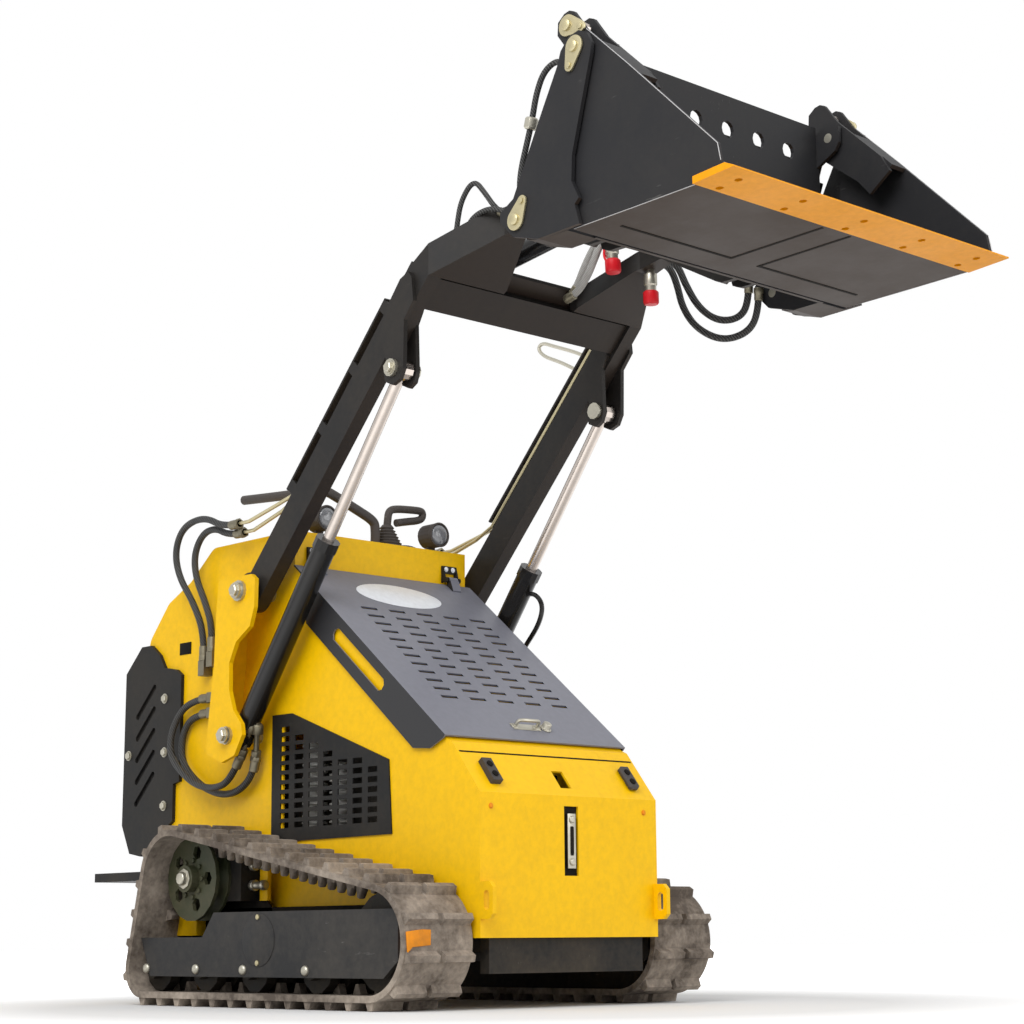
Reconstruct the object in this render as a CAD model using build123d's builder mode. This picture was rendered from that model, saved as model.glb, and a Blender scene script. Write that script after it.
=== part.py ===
from build123d import *
import math
import os

# Compact stand-on track loader with raised arms and a clamshell bucket.
# Millimetres, +X forward, +Y left, +Z up, ground at Z = 0.
# Side drawings use X measured from the drive axle; datum_x puts the middle of the length at X = 0.

os.makedirs("parts", exist_ok=True)

# ---- driving dimensions -------------------------------------------------------------------------
platform_rear_x = -724.0
bucket_tip_x = 1908.0
datum_x = -(platform_rear_x + bucket_tip_x) / 2

body_half = 290.0            # half width over the side walls
body_wall = 6.0              # sheet of walls and panels
body_bottom = 159.0          # lower edge of the front panel
belly_z = 236.0              # underside between the tracks
front_x = 935.0              # outer face of the front panel
front_bend_z = 487.0         # where the front panel starts to lean back
front_lip = (839.0, 608.0)   # top of the leaning part
hood_low = (825.0, 624.0)    # outer lower edge of the hood
hood_high = (241.0, 1099.0)  # outer upper edge of the hood
hood_sheet = 4.0
hood_gap = 5.0               # clearance between the hood and what it closes on
console_x = 235.0            # front face of the console
console_top = 1188.0
rear_x = -415.0              # rear face of the body
rear_shoulder_z = 965.0

track_width = 200.0
track_gap = 7.0              # between the side wall and the track
track_center = body_half + track_gap + track_width / 2
belt = 15.0                  # track carcass
lug_height = 18.0
lug_pitch = 74.0
lug_length = 30.0            # along the track
guide_height = 24.0          # inner guide lugs
guide_width = 20.0
drive_axis = (-5.0, 311.0)
drive_radius = 106.0         # inner face of the belt on the sprocket
idler_x = 785.0
idler_radius = 117.0
tail_x = -110.0              # rear lower wheel
roller_radius = 57.0
roller_x = (90.0, 292.0, 535.0)
run_clearance = 0.3          # wheels on the belt, pins in bores

frame_inner = track_center - 72    # faces of the roller frame
frame_outer = track_center + 78
frame_plate = 12.0
frame_top = 225.0
frame_bottom = 71.0

lift_pivot = (140.0, 1032.0)
cylinder_base = (95.0, 667.0)
tower_plate = 12.0
tower_outer = body_half + 102      # outer face of the tower plate
lift_pin = 19.0              # radius
base_pin = 15.0
arm_width = 40.0
arm_gap = 15.0               # between the arm and the tower plate
arm_center = tower_outer - tower_plate - arm_gap - arm_width / 2
arm_depth = 78.0
arm_tilt = 47.1              # degrees above level at rest
arm_lower = -50.3            # lower edge of the arm from the pivot, across the arm
arm_length = 978.0           # pivot to the square cut at the knee
gusset = 12.0
rod_pin = (724.0, 1507.0)    # pin between the gussets
cross_start = 886.0          # cross tube, along the arms
cross_length = 85.0
cross_low = -40.0
cross_depth = 72.0

barrel_radius = 29.0
barrel_length = 578.0
rod_radius = 15.0
eye_radius = 26.0
eye_width = 30.0

tilt_pivot = (1290.0, 1745.0)
tilt_pin = 16.0              # radius
tilt_base = (745.0, 1800.0)
tilt_eye = (1325.0, 1875.0)
tilt_y = -92.0
tilt_barrel_radius = 27.0
tilt_barrel_length = 355.0
tilt_rod_radius = 13.0
nose_inner = 205.0           # the two front ends of the arms, beside the bucket hinge
nose_outer = 245.0

bucket_half = 473.0          # half width of the cutting edge
floor_z = 1662.0             # underside of the bucket floor at the back
back_x = 1423.0              # rear face of the back wall
plate = 10.0                 # bucket plates
clam_pivot = (1470.0, 2067.0)
clam_pin = (1433.0, 2131.0)
clam_base = (1279.0, 1719.0)
side_outer = bucket_half - 7       # outer face of the clam's side plates
rear_outer = bucket_half + 9       # outer face of the back unit's outer plates
rear_inner = rear_outer - 104      # inner face of the back unit's inner plates
ear_inner = rear_inner + plate + 6     # inner face of the clam's inner ears
clam_cylinder_y = (rear_inner + rear_outer) / 2
clam_hinge_pin = 12.0        # radius
clam_barrel_radius = 21.0
clam_barrel_length = 290.0
clam_rod_radius = 11.0

guard_sheet = 10.0           # rear guards, slots not cut through
strip_sheet = 6.0            # strips over the hard lines on the arms
rail_radius = 13.0
buffer_height = 15.0
hose_radius = 9.0
line_radius = 5.0
lamp_radius = 33.0
lamp_y = body_half - 98
lamp_z = 1231.0
bolt_sides = 12              # faces round pins, bores and bolt heads
wheel_sides = 18
roller_sides = 10

sides = (("right", -1), ("left", 1))


# ---- helpers ------------------------------------------------------------------------------------
def side_plane(y):
    """Drawing plane seen from the machine's right: local x is datum X, local y is Z."""
    return Plane(origin=(datum_x, y, 0), x_dir=(1, 0, 0), z_dir=(0, -1, 0))


def plan_plane(z):
    """Drawing plane seen from above: local x is datum X, local y is Y."""
    return Plane(origin=(datum_x, 0, z), x_dir=(1, 0, 0), z_dir=(0, 0, 1))


def line_plane(start, degrees, y):
    """Side drawing plane whose local x leaves start at an angle above level."""
    a = math.radians(degrees)
    return Plane(origin=(start[0] + datum_x, y, start[1]),
                 x_dir=(math.cos(a), 0, math.sin(a)), z_dir=(0, -1, 0))


def axis_plane(start, degrees, y):
    """Plane across a line that leaves start at an angle above level; its normal is the line."""
    a = math.radians(degrees)
    return Plane(origin=(start[0] + datum_x, y, start[1]),
                 x_dir=(0, 1, 0), z_dir=(math.cos(a), 0, math.sin(a)))


def heading(start, end):
    return math.degrees(math.atan2(end[1] - start[1], end[0] - start[0]))


def reach(start, end):
    return math.hypot(end[0] - start[0], end[1] - start[1])


def toward(start, end, distance):
    share = distance / reach(start, end)
    return (start[0] + (end[0] - start[0]) * share, start[1] + (end[1] - start[1]) * share)


def side_start(side, inner, outer):
    """Y of the drawing plane for a piece between two half widths, extruded toward the right."""
    return outer if side > 0 else -inner


def round_bore(radius):
    """Bore drawn with few faces, its flats on the radius."""
    RegularPolygon(radius, bolt_sides, major_radius=False, mode=Mode.SUBTRACT)


def long_hole(length, width):
    """Slot with cut corners, long side along local x."""
    with BuildSketch(mode=Mode.PRIVATE) as hole:
        Rectangle(length, width)
        chamfer(hole.vertices(), 0.3 * min(length, width))
    add(hole.sketch, mode=Mode.SUBTRACT)


def bar(points, radius):
    """Round bar with square-cut corners along a short list of points."""
    start = Vector(*points[0])
    with BuildPart(mode=Mode.PRIVATE) as piece:
        with BuildLine():
            Polyline(*points)
        with BuildSketch(Plane(origin=start, z_dir=Vector(*points[1]) - start)):
            RegularPolygon(radius, bolt_sides)
        sweep(transition=Transition.RIGHT)
    return piece.part


def save(builder, label):
    builder.part.label = label
    export_step(builder.part, f"parts/{label}.step")


hood_angle = heading(hood_low, hood_high)
hood_length = reach(hood_low, hood_high) - 4.0


def hood_point(along, depth):
    """Datum point at a distance up the hood from its lower edge and a depth below its face."""
    a = math.radians(hood_angle)
    return (hood_low[0] + along * math.cos(a) - depth * math.sin(a),
            hood_low[1] + along * math.sin(a) + depth * math.cos(a))


def hood_at(x, depth):
    """Point at a depth below the hood's face with the datum X asked for."""
    a = math.radians(hood_angle)
    return hood_point((hood_low[0] - depth * math.sin(a) - x) / -math.cos(a), depth)


hood_hinge = hood_point(hood_length + 2, -14)
knuckle = 8.0                # radius of the hinge knuckles and their ears
hinge_pin = 4.0
hinge_y = body_half - 61
bracket_top = 1148.0
bracket_height = 20.0
bracket_sheet = 6.0


def hood_face_plane(depth):
    """Plane on the hood: local x is Y, local y runs up the hood, normal outward."""
    a = math.radians(hood_angle)
    x, z = hood_point(0, depth)
    return Plane(origin=(x + datum_x, 0, z), x_dir=(0, 1, 0),
                 z_dir=(math.sin(a), 0, -math.cos(a)))


# ---- body shell ---------------------------------------------------------------------------------
seat_depth = hood_sheet + hood_gap
body_outline = (
    (front_x, body_bottom), (front_x, front_bend_z), front_lip,
    hood_point(-2, seat_depth), hood_at(console_x, seat_depth),
    (console_x, console_top), (-121, console_top), (-225, 1108), (-327, 1061),
    (rear_x, rear_shoulder_z), (rear_x, belly_z), (574, belly_z), (610, 263), (720, 263),
    (760, body_bottom),
)
grille_outline = ((153, 399), (153, 719), (233, 719), (614, 580), (626, 403))

with BuildPart() as body_shell:
    with BuildSketch(side_plane(body_half)) as outer_section:
        with BuildLine():
            Polyline(*body_outline, close=True)
        make_face()
        fillet(outer_section.vertices().filter_by_position(Axis.X, rear_x - 5, -100)
               .filter_by_position(Axis.Y, 940, 1195), radius=45)
    extrude(amount=2 * body_half)
    with BuildSketch(side_plane(body_half - body_wall)):
        add(outer_section.sketch_local)
        offset(amount=-body_wall)
    extrude(amount=2 * (body_half - body_wall), mode=Mode.SUBTRACT)
    # engine opening under the hood, leaving a rim for the hood to close over
    with BuildSketch(hood_face_plane(seat_depth - 2)):
        with Locations((0, hood_length / 2 - 4)):
            Rectangle(2 * body_half - 56, hood_length - 60)
    extrude(amount=-body_wall - 12, mode=Mode.SUBTRACT)
    # grille windows through both side walls
    with BuildSketch(side_plane(body_half + 1)):
        with BuildLine():
            Polyline((195, 425), (195, 695), (240, 695), (595, 565), (600, 425), close=True)
        make_face()
    extrude(amount=2 * body_half + 2, mode=Mode.SUBTRACT)
    # gauge slot in the front panel, hand hole in the leaning panel
    with BuildSketch(Plane(origin=(datum_x + front_x + 1, 0, 0), x_dir=(0, 1, 0),
                           z_dir=(1, 0, 0))):
        with Locations((0, 382)):
            Rectangle(46, 162)
    extrude(amount=-body_wall - 2, mode=Mode.SUBTRACT)
    lean = heading((front_x, front_bend_z), front_lip)
    with BuildSketch(Plane(origin=(datum_x + 903, 0, 527.3), x_dir=(0, 1, 0),
                           z_dir=(math.sin(math.radians(lean)), 0,
                                  -math.cos(math.radians(lean))))):
        Rectangle(36, 54)
    extrude(amount=8, both=True, mode=Mode.SUBTRACT)
save(body_shell, "body_shell")

# ---- hood ---------------------------------------------------------------------------------------
flange_outline = ((0, 0), (0, 9), (24, 56), (74, 91), (612, 89), (681, 0))
hood_half = body_half + hood_gap + hood_sheet

with BuildPart() as hood:
    with BuildSketch(hood_face_plane(hood_sheet)):
        with Locations((0, hood_length / 2)):
            Rectangle(2 * hood_half, hood_length)
    extrude(amount=hood_sheet)
    for name, side in sides:
        with BuildSketch(line_plane(hood_low, hood_angle,
                                    side * hood_half)) as flange:
            with BuildLine():
                Polyline(*flange_outline, close=True)
            make_face()
            with Locations((380, 43)):
                long_hole(245, 34)
        extrude(amount=side * hood_sheet)
    with BuildSketch(hood_face_plane(hood_sheet + 1)):
        with Locations((0, 368)):
            with GridLocations(92, 36, 5, 12):
                with Locations((15, 0)):
                    Rectangle(52, 11)
    extrude(amount=hood_sheet + 2, mode=Mode.SUBTRACT)
    for name, side in sides:
        with BuildSketch(side_plane(side_start(side, hinge_y - 15, hinge_y + 15))):
            with BuildLine():
                Polyline(hood_point(hood_length - 34, 0), hood_point(hood_length - 2, 0),
                         hood_point(hood_length - 2, -14), hood_point(hood_length - 8, -19),
                         hood_point(hood_length - 34, -4), close=True)
            make_face()
            with Locations(hood_hinge):
                RegularPolygon(knuckle, bolt_sides)
                round_bore(hinge_pin + run_clearance)
        extrude(amount=30)
save(hood, "hood")

# hinge brackets on the console's front face
with BuildPart() as hood_hinges:
    for name, side in sides:
        for lo in (hinge_y - 25, hinge_y + 20):
            with BuildSketch(side_plane(side_start(side, lo, lo + 5))):
                with BuildLine():
                    Polyline((console_x, hood_hinge[1] - 7), (console_x, bracket_top),
                             (console_x + bracket_sheet, bracket_top), hood_hinge, close=True)
                make_face()
                with Locations(hood_hinge):
                    RegularPolygon(knuckle, bolt_sides)
            extrude(amount=5)
        with BuildSketch(side_plane(side_start(side, hinge_y - 25, hinge_y + 25))):
            with Locations((console_x + bracket_sheet / 2, bracket_top - bracket_height / 2)):
                Rectangle(bracket_sheet, bracket_height)
            with Locations(hood_hinge):
                RegularPolygon(hinge_pin, bolt_sides)
        extrude(amount=50)
save(hood_hinges, "hood_hinges")

# ---- grilles over the side windows --------------------------------------------------------------
with BuildPart() as grilles:
    for name, side in sides:
        with BuildSketch(side_plane(side_start(side, body_half, body_half + 4))):
            with BuildLine():
                Polyline(*grille_outline, close=True)
            make_face()
            rows = [(x, z) for x in range(207, 590, 58) for z in range(440, 690, 24)
                    if z < 700 - 0.365 * max(x - 180, 0)]
            with Locations(*rows):
                Rectangle(36, 14, mode=Mode.SUBTRACT)
        extrude(amount=4)
save(grilles, "grilles")

# ---- rear side guards ---------------------------------------------------------------------------
guard_outline = ((-512, 883), (-438, 952), (-393, 952), (-352, 922), (-327, 885), (-271, 875),
                 (-247, 859), (-249, 575), (-276, 569), (-277, 471), (-425, 382), (-478, 391),
                 (-517, 468))
with BuildPart() as rear_guards:
    for name, side in sides:
        with BuildSketch(side_plane(side_start(side, body_half, body_half + guard_sheet))):
            with BuildLine():
                Polyline(*guard_outline, close=True)
            make_face()
            with Locations(*[Location((-412, 798 - 59 * i), 43.9) for i in range(5)]):
                long_hole(124, 16)
        extrude(amount=guard_sheet)
        with BuildSketch(side_plane(side_start(side, body_half, body_half + 2))):
            with BuildLine():
                Polyline((-484, 870), (-340, 870), (-340, 500), (-484, 500), close=True)
            make_face()
        extrude(amount=2)
save(rear_guards, "rear_guards")

# ---- engine block on the belly ------------------------------------------------------------------
with BuildPart() as engine_block:
    with Locations((datum_x + 260, 0, belly_z + body_wall + 200)):
        Box(520, 400, 400)
save(engine_block, "engine_block")

# ---- arm towers ---------------------------------------------------------------------------------
tower_outline = ((186, 1070), (203, 1057), (201, 984), (183, 937), (126, 903), (98, 852),
                 (100, 780), (118, 731), (153, 693), (158, 665), (125, 615), (70, 600), (2, 627),
                 (14, 729), (32, 858), (37, 981), (48, 1071))
with BuildPart() as towers:
    for name, side in sides:
        with BuildSketch(side_plane(side_start(side, tower_outer - tower_plate, tower_outer))):
            with BuildLine():
                Polyline(*tower_outline, close=True)
            make_face()
            with Locations(lift_pivot):
                RegularPolygon(lift_pin, bolt_sides, mode=Mode.SUBTRACT)
            with Locations(cylinder_base):
                RegularPolygon(base_pin, bolt_sides, mode=Mode.SUBTRACT)
        extrude(amount=tower_plate)
        with BuildSketch(side_plane(side_start(side, body_half, tower_outer - tower_plate))):
            with BuildLine():
                Polyline((2, 627), (14, 729), (32, 858), (37, 981), (48, 1071), (34, 1071),
                         (23, 981), (18, 858), (0, 729), (-12, 640), close=True)
            make_face()
        extrude(amount=tower_outer - tower_plate - body_half)
save(towers, "towers")

with BuildPart() as base_pins:
    for name, side in sides:
        for center, radius in ((lift_pivot, lift_pin), (cylinder_base, base_pin)):
            with BuildSketch(side_plane(side_start(side, body_half, tower_outer + 14))):
                with Locations(center):
                    RegularPolygon(radius, bolt_sides)
            extrude(amount=tower_outer + 14 - body_half)
            with BuildSketch(side_plane(side_start(side, tower_outer, tower_outer + 8))):
                with Locations(center):
                    RegularPolygon(radius + 8, bolt_sides)
            extrude(amount=8)
save(base_pins, "base_pins")

# ---- chassis: beams between the roller frames, drive housings, front skid -----------------------
roller_z = roller_radius + belt + lug_height
idler_z = idler_radius + belt + lug_height
with BuildPart() as chassis:
    for x in (150, 585):
        with Locations((datum_x + x, 0, 160)):
            Box(90, 2 * frame_inner, 70)
        with Locations((datum_x + x, 0, (195 + belly_z) / 2)):
            Box(90, 360, belly_z - 195)
    for name, side in sides:
        # travel motor inside the sprocket, with its port block behind
        motor_face = track_center - 21
        with BuildSketch(side_plane(side_start(side, body_half, motor_face))):
            with Locations(drive_axis):
                RegularPolygon(62, wheel_sides)
            with Locations((drive_axis[0] + 96, drive_axis[1] + 2)):
                Rectangle(100, 118)
        extrude(amount=motor_face - body_half)
    with Locations((datum_x + 905, 0, body_bottom - 40)):
        Box(30, 500, 80)
save(chassis, "chassis")

with BuildPart() as platform:
    with Locations((datum_x + (platform_rear_x + rear_x) / 2, 0, 332)):
        Box(rear_x - platform_rear_x, 500, 24)
    with Locations((datum_x + rear_x - 20, 0, 290)):
        Box(40, 440, 60)
save(platform, "platform")

# ---- roller frames ------------------------------------------------------------------------------
frame_outline = ((166, frame_top), (867, frame_top), (867, 110), (816, frame_bottom),
                 (-103, frame_bottom), (-147, 166), (119, 166))
with BuildPart() as roller_frames:
    for name, side in sides:
        for inner in (frame_inner, frame_outer - frame_plate):
            with BuildSketch(side_plane(side_start(side, inner, inner + frame_plate))):
                with BuildLine():
                    Polyline(*frame_outline, close=True)
                make_face()
            extrude(amount=frame_plate)
        with BuildSketch(side_plane(side_start(side, frame_inner, frame_outer))):
            with Locations((403, frame_top - 8)):
                Rectangle(474, 16)
        extrude(amount=frame_outer - frame_inner)
save(roller_frames, "roller_frames")

# ---- wheels inside the tracks -------------------------------------------------------------------
wheel_rows = (
    # x, z, radius, drum radius, sides
    *((x, roller_z, roller_radius, 0.0, roller_sides) for x in (tail_x,) + roller_x),
    (idler_x, idler_z, idler_radius, 84.0, wheel_sides),
)
with BuildPart() as wheels:
    for name, side in sides:
        for x, z, radius, drum, edges in wheel_rows:
            with BuildSketch(side_plane(side_start(side, frame_inner + frame_plate,
                                                   frame_outer - frame_plate))):
                with Locations((x, z)):
                    RegularPolygon(26, 8)
            extrude(amount=frame_outer - frame_inner - 2 * frame_plate)
            if drum:
                with BuildSketch(side_plane(side_start(side, track_center - 16,
                                                       track_center + 16))):
                    with Locations((x, z)):
                        RegularPolygon(drum, edges)
                extrude(amount=32)
            for offset_y in (-30, 30):
                middle = track_center + offset_y
                with BuildSketch(side_plane(side_start(side, middle - 14, middle + 14))):
                    with Locations((x, z)):
                        RegularPolygon(radius - run_clearance, edges)
                extrude(amount=28)
save(wheels, "wheels")

with BuildPart() as sprockets:
    # drum, two discs with lightening holes, hub cap: faces from the middle of the track
    for name, side in sides:
        for inner, outer, radius, holes in (
                (-21, -13, drive_radius - run_clearance, 0), (-13, 15, 34, 0),
                (15, 25, drive_radius - run_clearance, 5), (25, 48, 34, 0)):
            with BuildSketch(side_plane(side_start(side, track_center + inner,
                                                   track_center + outer))):
                with Locations(drive_axis):
                    RegularPolygon(radius, wheel_sides)
                    if holes:
                        with PolarLocations(68, holes):
                            RegularPolygon(18, 6, mode=Mode.SUBTRACT)
            extrude(amount=outer - inner)
save(sprockets, "sprockets")

# ---- rubber tracks ------------------------------------------------------------------------------
wheel_circles = ((drive_axis, drive_radius), ((idler_x, idler_z), idler_radius),
                 ((tail_x, roller_z), roller_radius))
for name, side in sides:
    inner_y = track_center - track_width / 2
    outer_y = track_center + track_width / 2
    start_y = side_start(side, inner_y, outer_y)
    with BuildSketch(side_plane(start_y)) as inside:
        with BuildLine():
            for center, radius in wheel_circles:
                CenterArc(center, radius, 0, 360)
        make_hull()
    with BuildSketch(side_plane(start_y)) as carcass:
        add(inside.sketch_local)
        offset(amount=belt)
        add(inside.sketch_local, mode=Mode.SUBTRACT)
    loop = inside.sketch_local.face().outer_wire()
    count = round(loop.length / lug_pitch)
    with BuildPart() as track:
        with BuildSketch(side_plane(start_y)):
            add(carcass.sketch_local)
        extrude(amount=track_width)
        for i in range(count):
            here = loop.position_at(i / count)
            along = loop.tangent_at(i / count)
            angle = math.degrees(math.atan2(along.Y, along.X))
            for lo, hi, shift in ((inner_y + 4, track_center - 8, 0.0),
                                  (track_center + 8, outer_y - 4, 0.0)):
                with BuildSketch(side_plane(side_start(side, lo, hi))):
                    with Locations(Location((here.X, here.Y), angle)):
                        with Locations((0, -belt - lug_height / 2 + 1.5), ):
                            Trapezoid(lug_length, lug_height + 3, 70, rotation=180)
                extrude(amount=hi - lo)
            with BuildSketch(side_plane(side_start(side, track_center - guide_width / 2,
                                                   track_center + guide_width / 2))):
                with Locations(Location((here.X, here.Y), angle)):
                    with Locations((0, guide_height / 2 - 1.5)):
                        Trapezoid(30, guide_height + 3, 70)
            extrude(amount=guide_width)
    save(track, f"track_{name}")
    print("track", name, "loop", round(loop.length, 1), "shoes", count)

# ---- lifting arms -------------------------------------------------------------------------------
gusset_outline = ((782, 1735), (795, 1718), (801, 1659), (767, 1619), (764, 1500), (750, 1474),
                  (724, 1465), (698, 1477), (690, 1507), (700, 1531), (674, 1598), (700, 1660),
                  (752, 1722))
inner_gusset_outline = ((752, 1722), (770, 1700), (766, 1650), (748, 1619), (752, 1500),
                        (744, 1476)) + gusset_outline[6:]
wall_profile = ((843, 1714), (994, 1801), (1072, 1818), (1250, 1720), (1290, 1745),
                (1318, 1776), (1092, 1888), (958, 1863), (785, 1758))
box_profile = ((843, 1714), (994, 1801), (1072, 1818), (1112, 1798), (1112, 1866), (1000, 1846),
               (865, 1771), (803, 1736))
deck_plan = ((803, 325), (843, 365), (994, 256), (1072, nose_outer), (1112, nose_outer),
             (1112, 195), (1005, 195), (855, 120), (855, 0), (803, 0))
deck_profile = ((803, 1732), (865, 1767), (1000, 1842), (1112, 1862), (1112, 1870), (1000, 1850),
                (865, 1775), (803, 1740))
side_plan = ((784, 365), (843, 365), (994, 256), (1072, nose_outer), (1320, nose_outer),
             (1320, nose_inner), (1066, nose_inner + 28), (990, 243), (839, 353), (784, 353))
box_plan = ((843, 365), (994, 256), (1072, nose_outer), (1112, nose_outer), (1112, nose_inner),
            (1005, 195), (855, 120), (830, 120), (803, 325))
nose_plan = ((1066, nose_outer), (1340, nose_outer), (1340, nose_inner), (1066, nose_inner))


def cut_block(profile, plan, side):
    """Solid shared by a side profile and a plan outline on one side of the machine."""
    with BuildPart(mode=Mode.PRIVATE) as block:
        with BuildSketch(side_plane(400)):
            with BuildLine():
                Polyline(*profile, close=True)
            make_face()
        extrude(amount=800)
        with BuildSketch(plan_plane(1600)):
            with BuildLine():
                Polyline(*[(x, side * y) for x, y in plan], close=True)
            make_face()
        extrude(amount=400, mode=Mode.INTERSECT)
    return block.part


front_blocks = [cut_block(profile, plan, side)
                for name, side in sides
                for profile, plan in ((wall_profile, side_plan), (box_profile, box_plan),
                                      (wall_profile, nose_plan), (deck_profile, deck_plan))]

with BuildPart() as arm_frame:
    for name, side in sides:
        inner = arm_center - arm_width / 2
        outer = arm_center + arm_width / 2
        with BuildSketch(line_plane(lift_pivot, arm_tilt, side_start(side, inner, outer))):
            with BuildLine():
                Polyline((0, arm_lower), (arm_length, arm_lower),
                         (arm_length - 6, arm_lower + arm_depth), (0, arm_lower + arm_depth),
                         close=True)
            make_face()
            Circle(-arm_lower)
            round_bore(lift_pin + run_clearance)
        extrude(amount=arm_width)
        for lo, hi, outline in ((outer, outer + gusset, gusset_outline),
                                (inner - gusset, inner, inner_gusset_outline)):
            with BuildSketch(side_plane(side_start(side, lo, hi))):
                with BuildLine():
                    Polyline(*outline, close=True)
                make_face()
            extrude(amount=hi - lo)
    with BuildSketch(line_plane(lift_pivot, arm_tilt, arm_center - arm_width / 2)):
        with Locations((cross_start + cross_length / 2, cross_low + cross_depth / 2)):
            Rectangle(cross_length, cross_depth)
    extrude(amount=2 * arm_center - arm_width)
    for block in front_blocks:
        add(block)
    with BuildSketch(side_plane(nose_outer + 1)):
        with Locations(tilt_pivot):
            RegularPolygon(tilt_pin, bolt_sides)
    extrude(amount=2 * nose_outer + 2, mode=Mode.SUBTRACT)
save(arm_frame, "arm_frame")

# strips that cover the hard lines along the upper side of the arms, on short posts
strip_from, strip_to, strip_across = 282.0, 850.0, 52.0
arm_upper = arm_lower + arm_depth
with BuildPart() as arm_strips:
    for name, side in sides:
        near, far = arm_center - arm_width / 2 + 3, arm_center + arm_width / 2 - 3
        with BuildSketch(line_plane(lift_pivot, arm_tilt, side_start(side, near, far))):
            with Locations(((strip_from + strip_to) / 2, strip_across + strip_sheet / 2)):
                Rectangle(strip_to - strip_from, strip_sheet)
        extrude(amount=far - near)
        with BuildSketch(line_plane(lift_pivot, arm_tilt, side_start(side, far - 8, far))):
            with Locations(((strip_from + strip_to) / 2, (arm_upper + strip_across) / 2)):
                with GridLocations((strip_to - strip_from) / 3 - 12, 1, 4, 1):
                    Rectangle(30, strip_across - arm_upper)
        extrude(amount=8)
save(arm_strips, "arm_strips")


def cylinder_barrel(base, tip, y, eye, bore, radius, length, pin, rod):
    """Barrel from its base eye, bored for its rod, along the line from base to tip."""
    angle = heading(base, tip)
    with BuildPart(mode=Mode.PRIVATE) as barrel:
        with BuildSketch(line_plane(base, angle, y + eye_width / 2)):
            RegularPolygon(eye, bolt_sides)
            with Locations((eye / 2 + 8, 0)):
                Rectangle(eye + 16, 1.5 * eye)
            round_bore(pin + run_clearance)
        extrude(amount=eye_width)
        with Locations(axis_plane(base, angle, y)):
            with Locations((0, 0, eye + 4 + (length - eye - 4) / 2)):
                Cylinder(radius, length - eye - 4)
        # gland nut at the mouth, then the bore
        with BuildSketch(axis_plane(toward(base, tip, length - 28), angle, y)):
            RegularPolygon(radius + 3, bolt_sides)
        extrude(amount=28)
        with BuildSketch(axis_plane(toward(base, tip, eye + 34), angle, y)):
            RegularPolygon(rod + run_clearance, bolt_sides, major_radius=False)
        extrude(amount=length - eye - 34, mode=Mode.SUBTRACT)
    return barrel.part


def cylinder_rod(base, tip, y, eye, inside, rod, pin):
    """Rod from a distance inside the barrel out to its eye at tip."""
    angle = heading(base, tip)
    length = reach(base, tip)
    with BuildPart(mode=Mode.PRIVATE) as piston:
        with Locations(axis_plane(base, angle, y)):
            with Locations((0, 0, (inside + length - eye + 4) / 2)):
                Cylinder(rod, length - eye + 4 - inside)
        with BuildSketch(line_plane(base, angle, y + eye_width / 2)):
            with Locations((length, 0)):
                RegularPolygon(eye, bolt_sides)
        extrude(amount=eye_width)
        with BuildSketch(line_plane(base, angle, y + eye_width / 2)):
            with Locations((length, 0)):
                RegularPolygon(pin, bolt_sides, major_radius=False)
        extrude(amount=eye_width, mode=Mode.SUBTRACT)
    return piston.part


# ---- hydraulic cylinders ------------------------------------------------------------------------
cylinder_rows = [
    # label, base, tip, y, base eye, rod eye, barrel radius, barrel length, base pin, rod radius,
    # rod start inside the barrel
    *[(f"lift_{name}", cylinder_base, rod_pin, side * arm_center, 30.0, eye_radius,
       barrel_radius, barrel_length, base_pin, rod_radius, 515.0) for name, side in sides],
    ("tilt", tilt_base, tilt_eye, tilt_y, 26.0, 24.0, tilt_barrel_radius, tilt_barrel_length,
     13.0, tilt_rod_radius, 265.0),
    *[(f"clam_{name}", clam_base, clam_pin, side * clam_cylinder_y, 24.0, 20.0,
       clam_barrel_radius, clam_barrel_length, clam_hinge_pin, clam_rod_radius, 180.0)
      for name, side in sides],
]
for label, base, tip, y, eye, tip_eye, radius, length, pin, rod, inside in cylinder_rows:
    with BuildPart() as barrel:
        add(cylinder_barrel(base, tip, y, eye, pin, radius, length, pin, rod))
    save(barrel, f"{label}_barrel")
    with BuildPart() as piston:
        add(cylinder_rod(base, tip, y, tip_eye, inside, rod, 10.0))
    save(piston, f"{label}_rod")

# ---- pins and ears on the arms ------------------------------------------------------------------
with BuildPart() as arm_pins:
    for name, side in sides:
        for lo, hi in ((arm_center + arm_width / 2 + gusset, arm_center + arm_width / 2 + gusset + 9),
                       (arm_center - arm_width / 2 - gusset - 9, arm_center - arm_width / 2 - gusset)):
            with BuildSketch(side_plane(side_start(side, lo, hi))):
                with Locations(rod_pin):
                    RegularPolygon(22, bolt_sides)
            extrude(amount=hi - lo)
        with BuildSketch(side_plane(side_start(side, nose_inner - 24, nose_outer + 24))):
            with Locations(tilt_pivot):
                RegularPolygon(tilt_pin, bolt_sides)
        extrude(amount=nose_outer - nose_inner + 48)
save(arm_pins, "arm_pins")

ear_foot = cross_low + cross_depth
with BuildPart() as tilt_ears:
    for lo, hi in ((tilt_y + 20, tilt_y + 32), (tilt_y - 32, tilt_y - 20)):
        with BuildSketch(line_plane(lift_pivot, arm_tilt, hi)):
            with BuildLine():
                Polyline((cross_start + 8, ear_foot), (cross_start + 78, ear_foot),
                         (cross_start + 110, 84), (cross_start + 104, 106),
                         (cross_start + 82, 112), (cross_start + 62, 102), close=True)
            make_face()
        extrude(amount=hi - lo)
    with BuildSketch(side_plane(tilt_y + 38)):
        with Locations(tilt_base):
            RegularPolygon(13, bolt_sides)
    extrude(amount=76)
save(tilt_ears, "tilt_ears")

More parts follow.
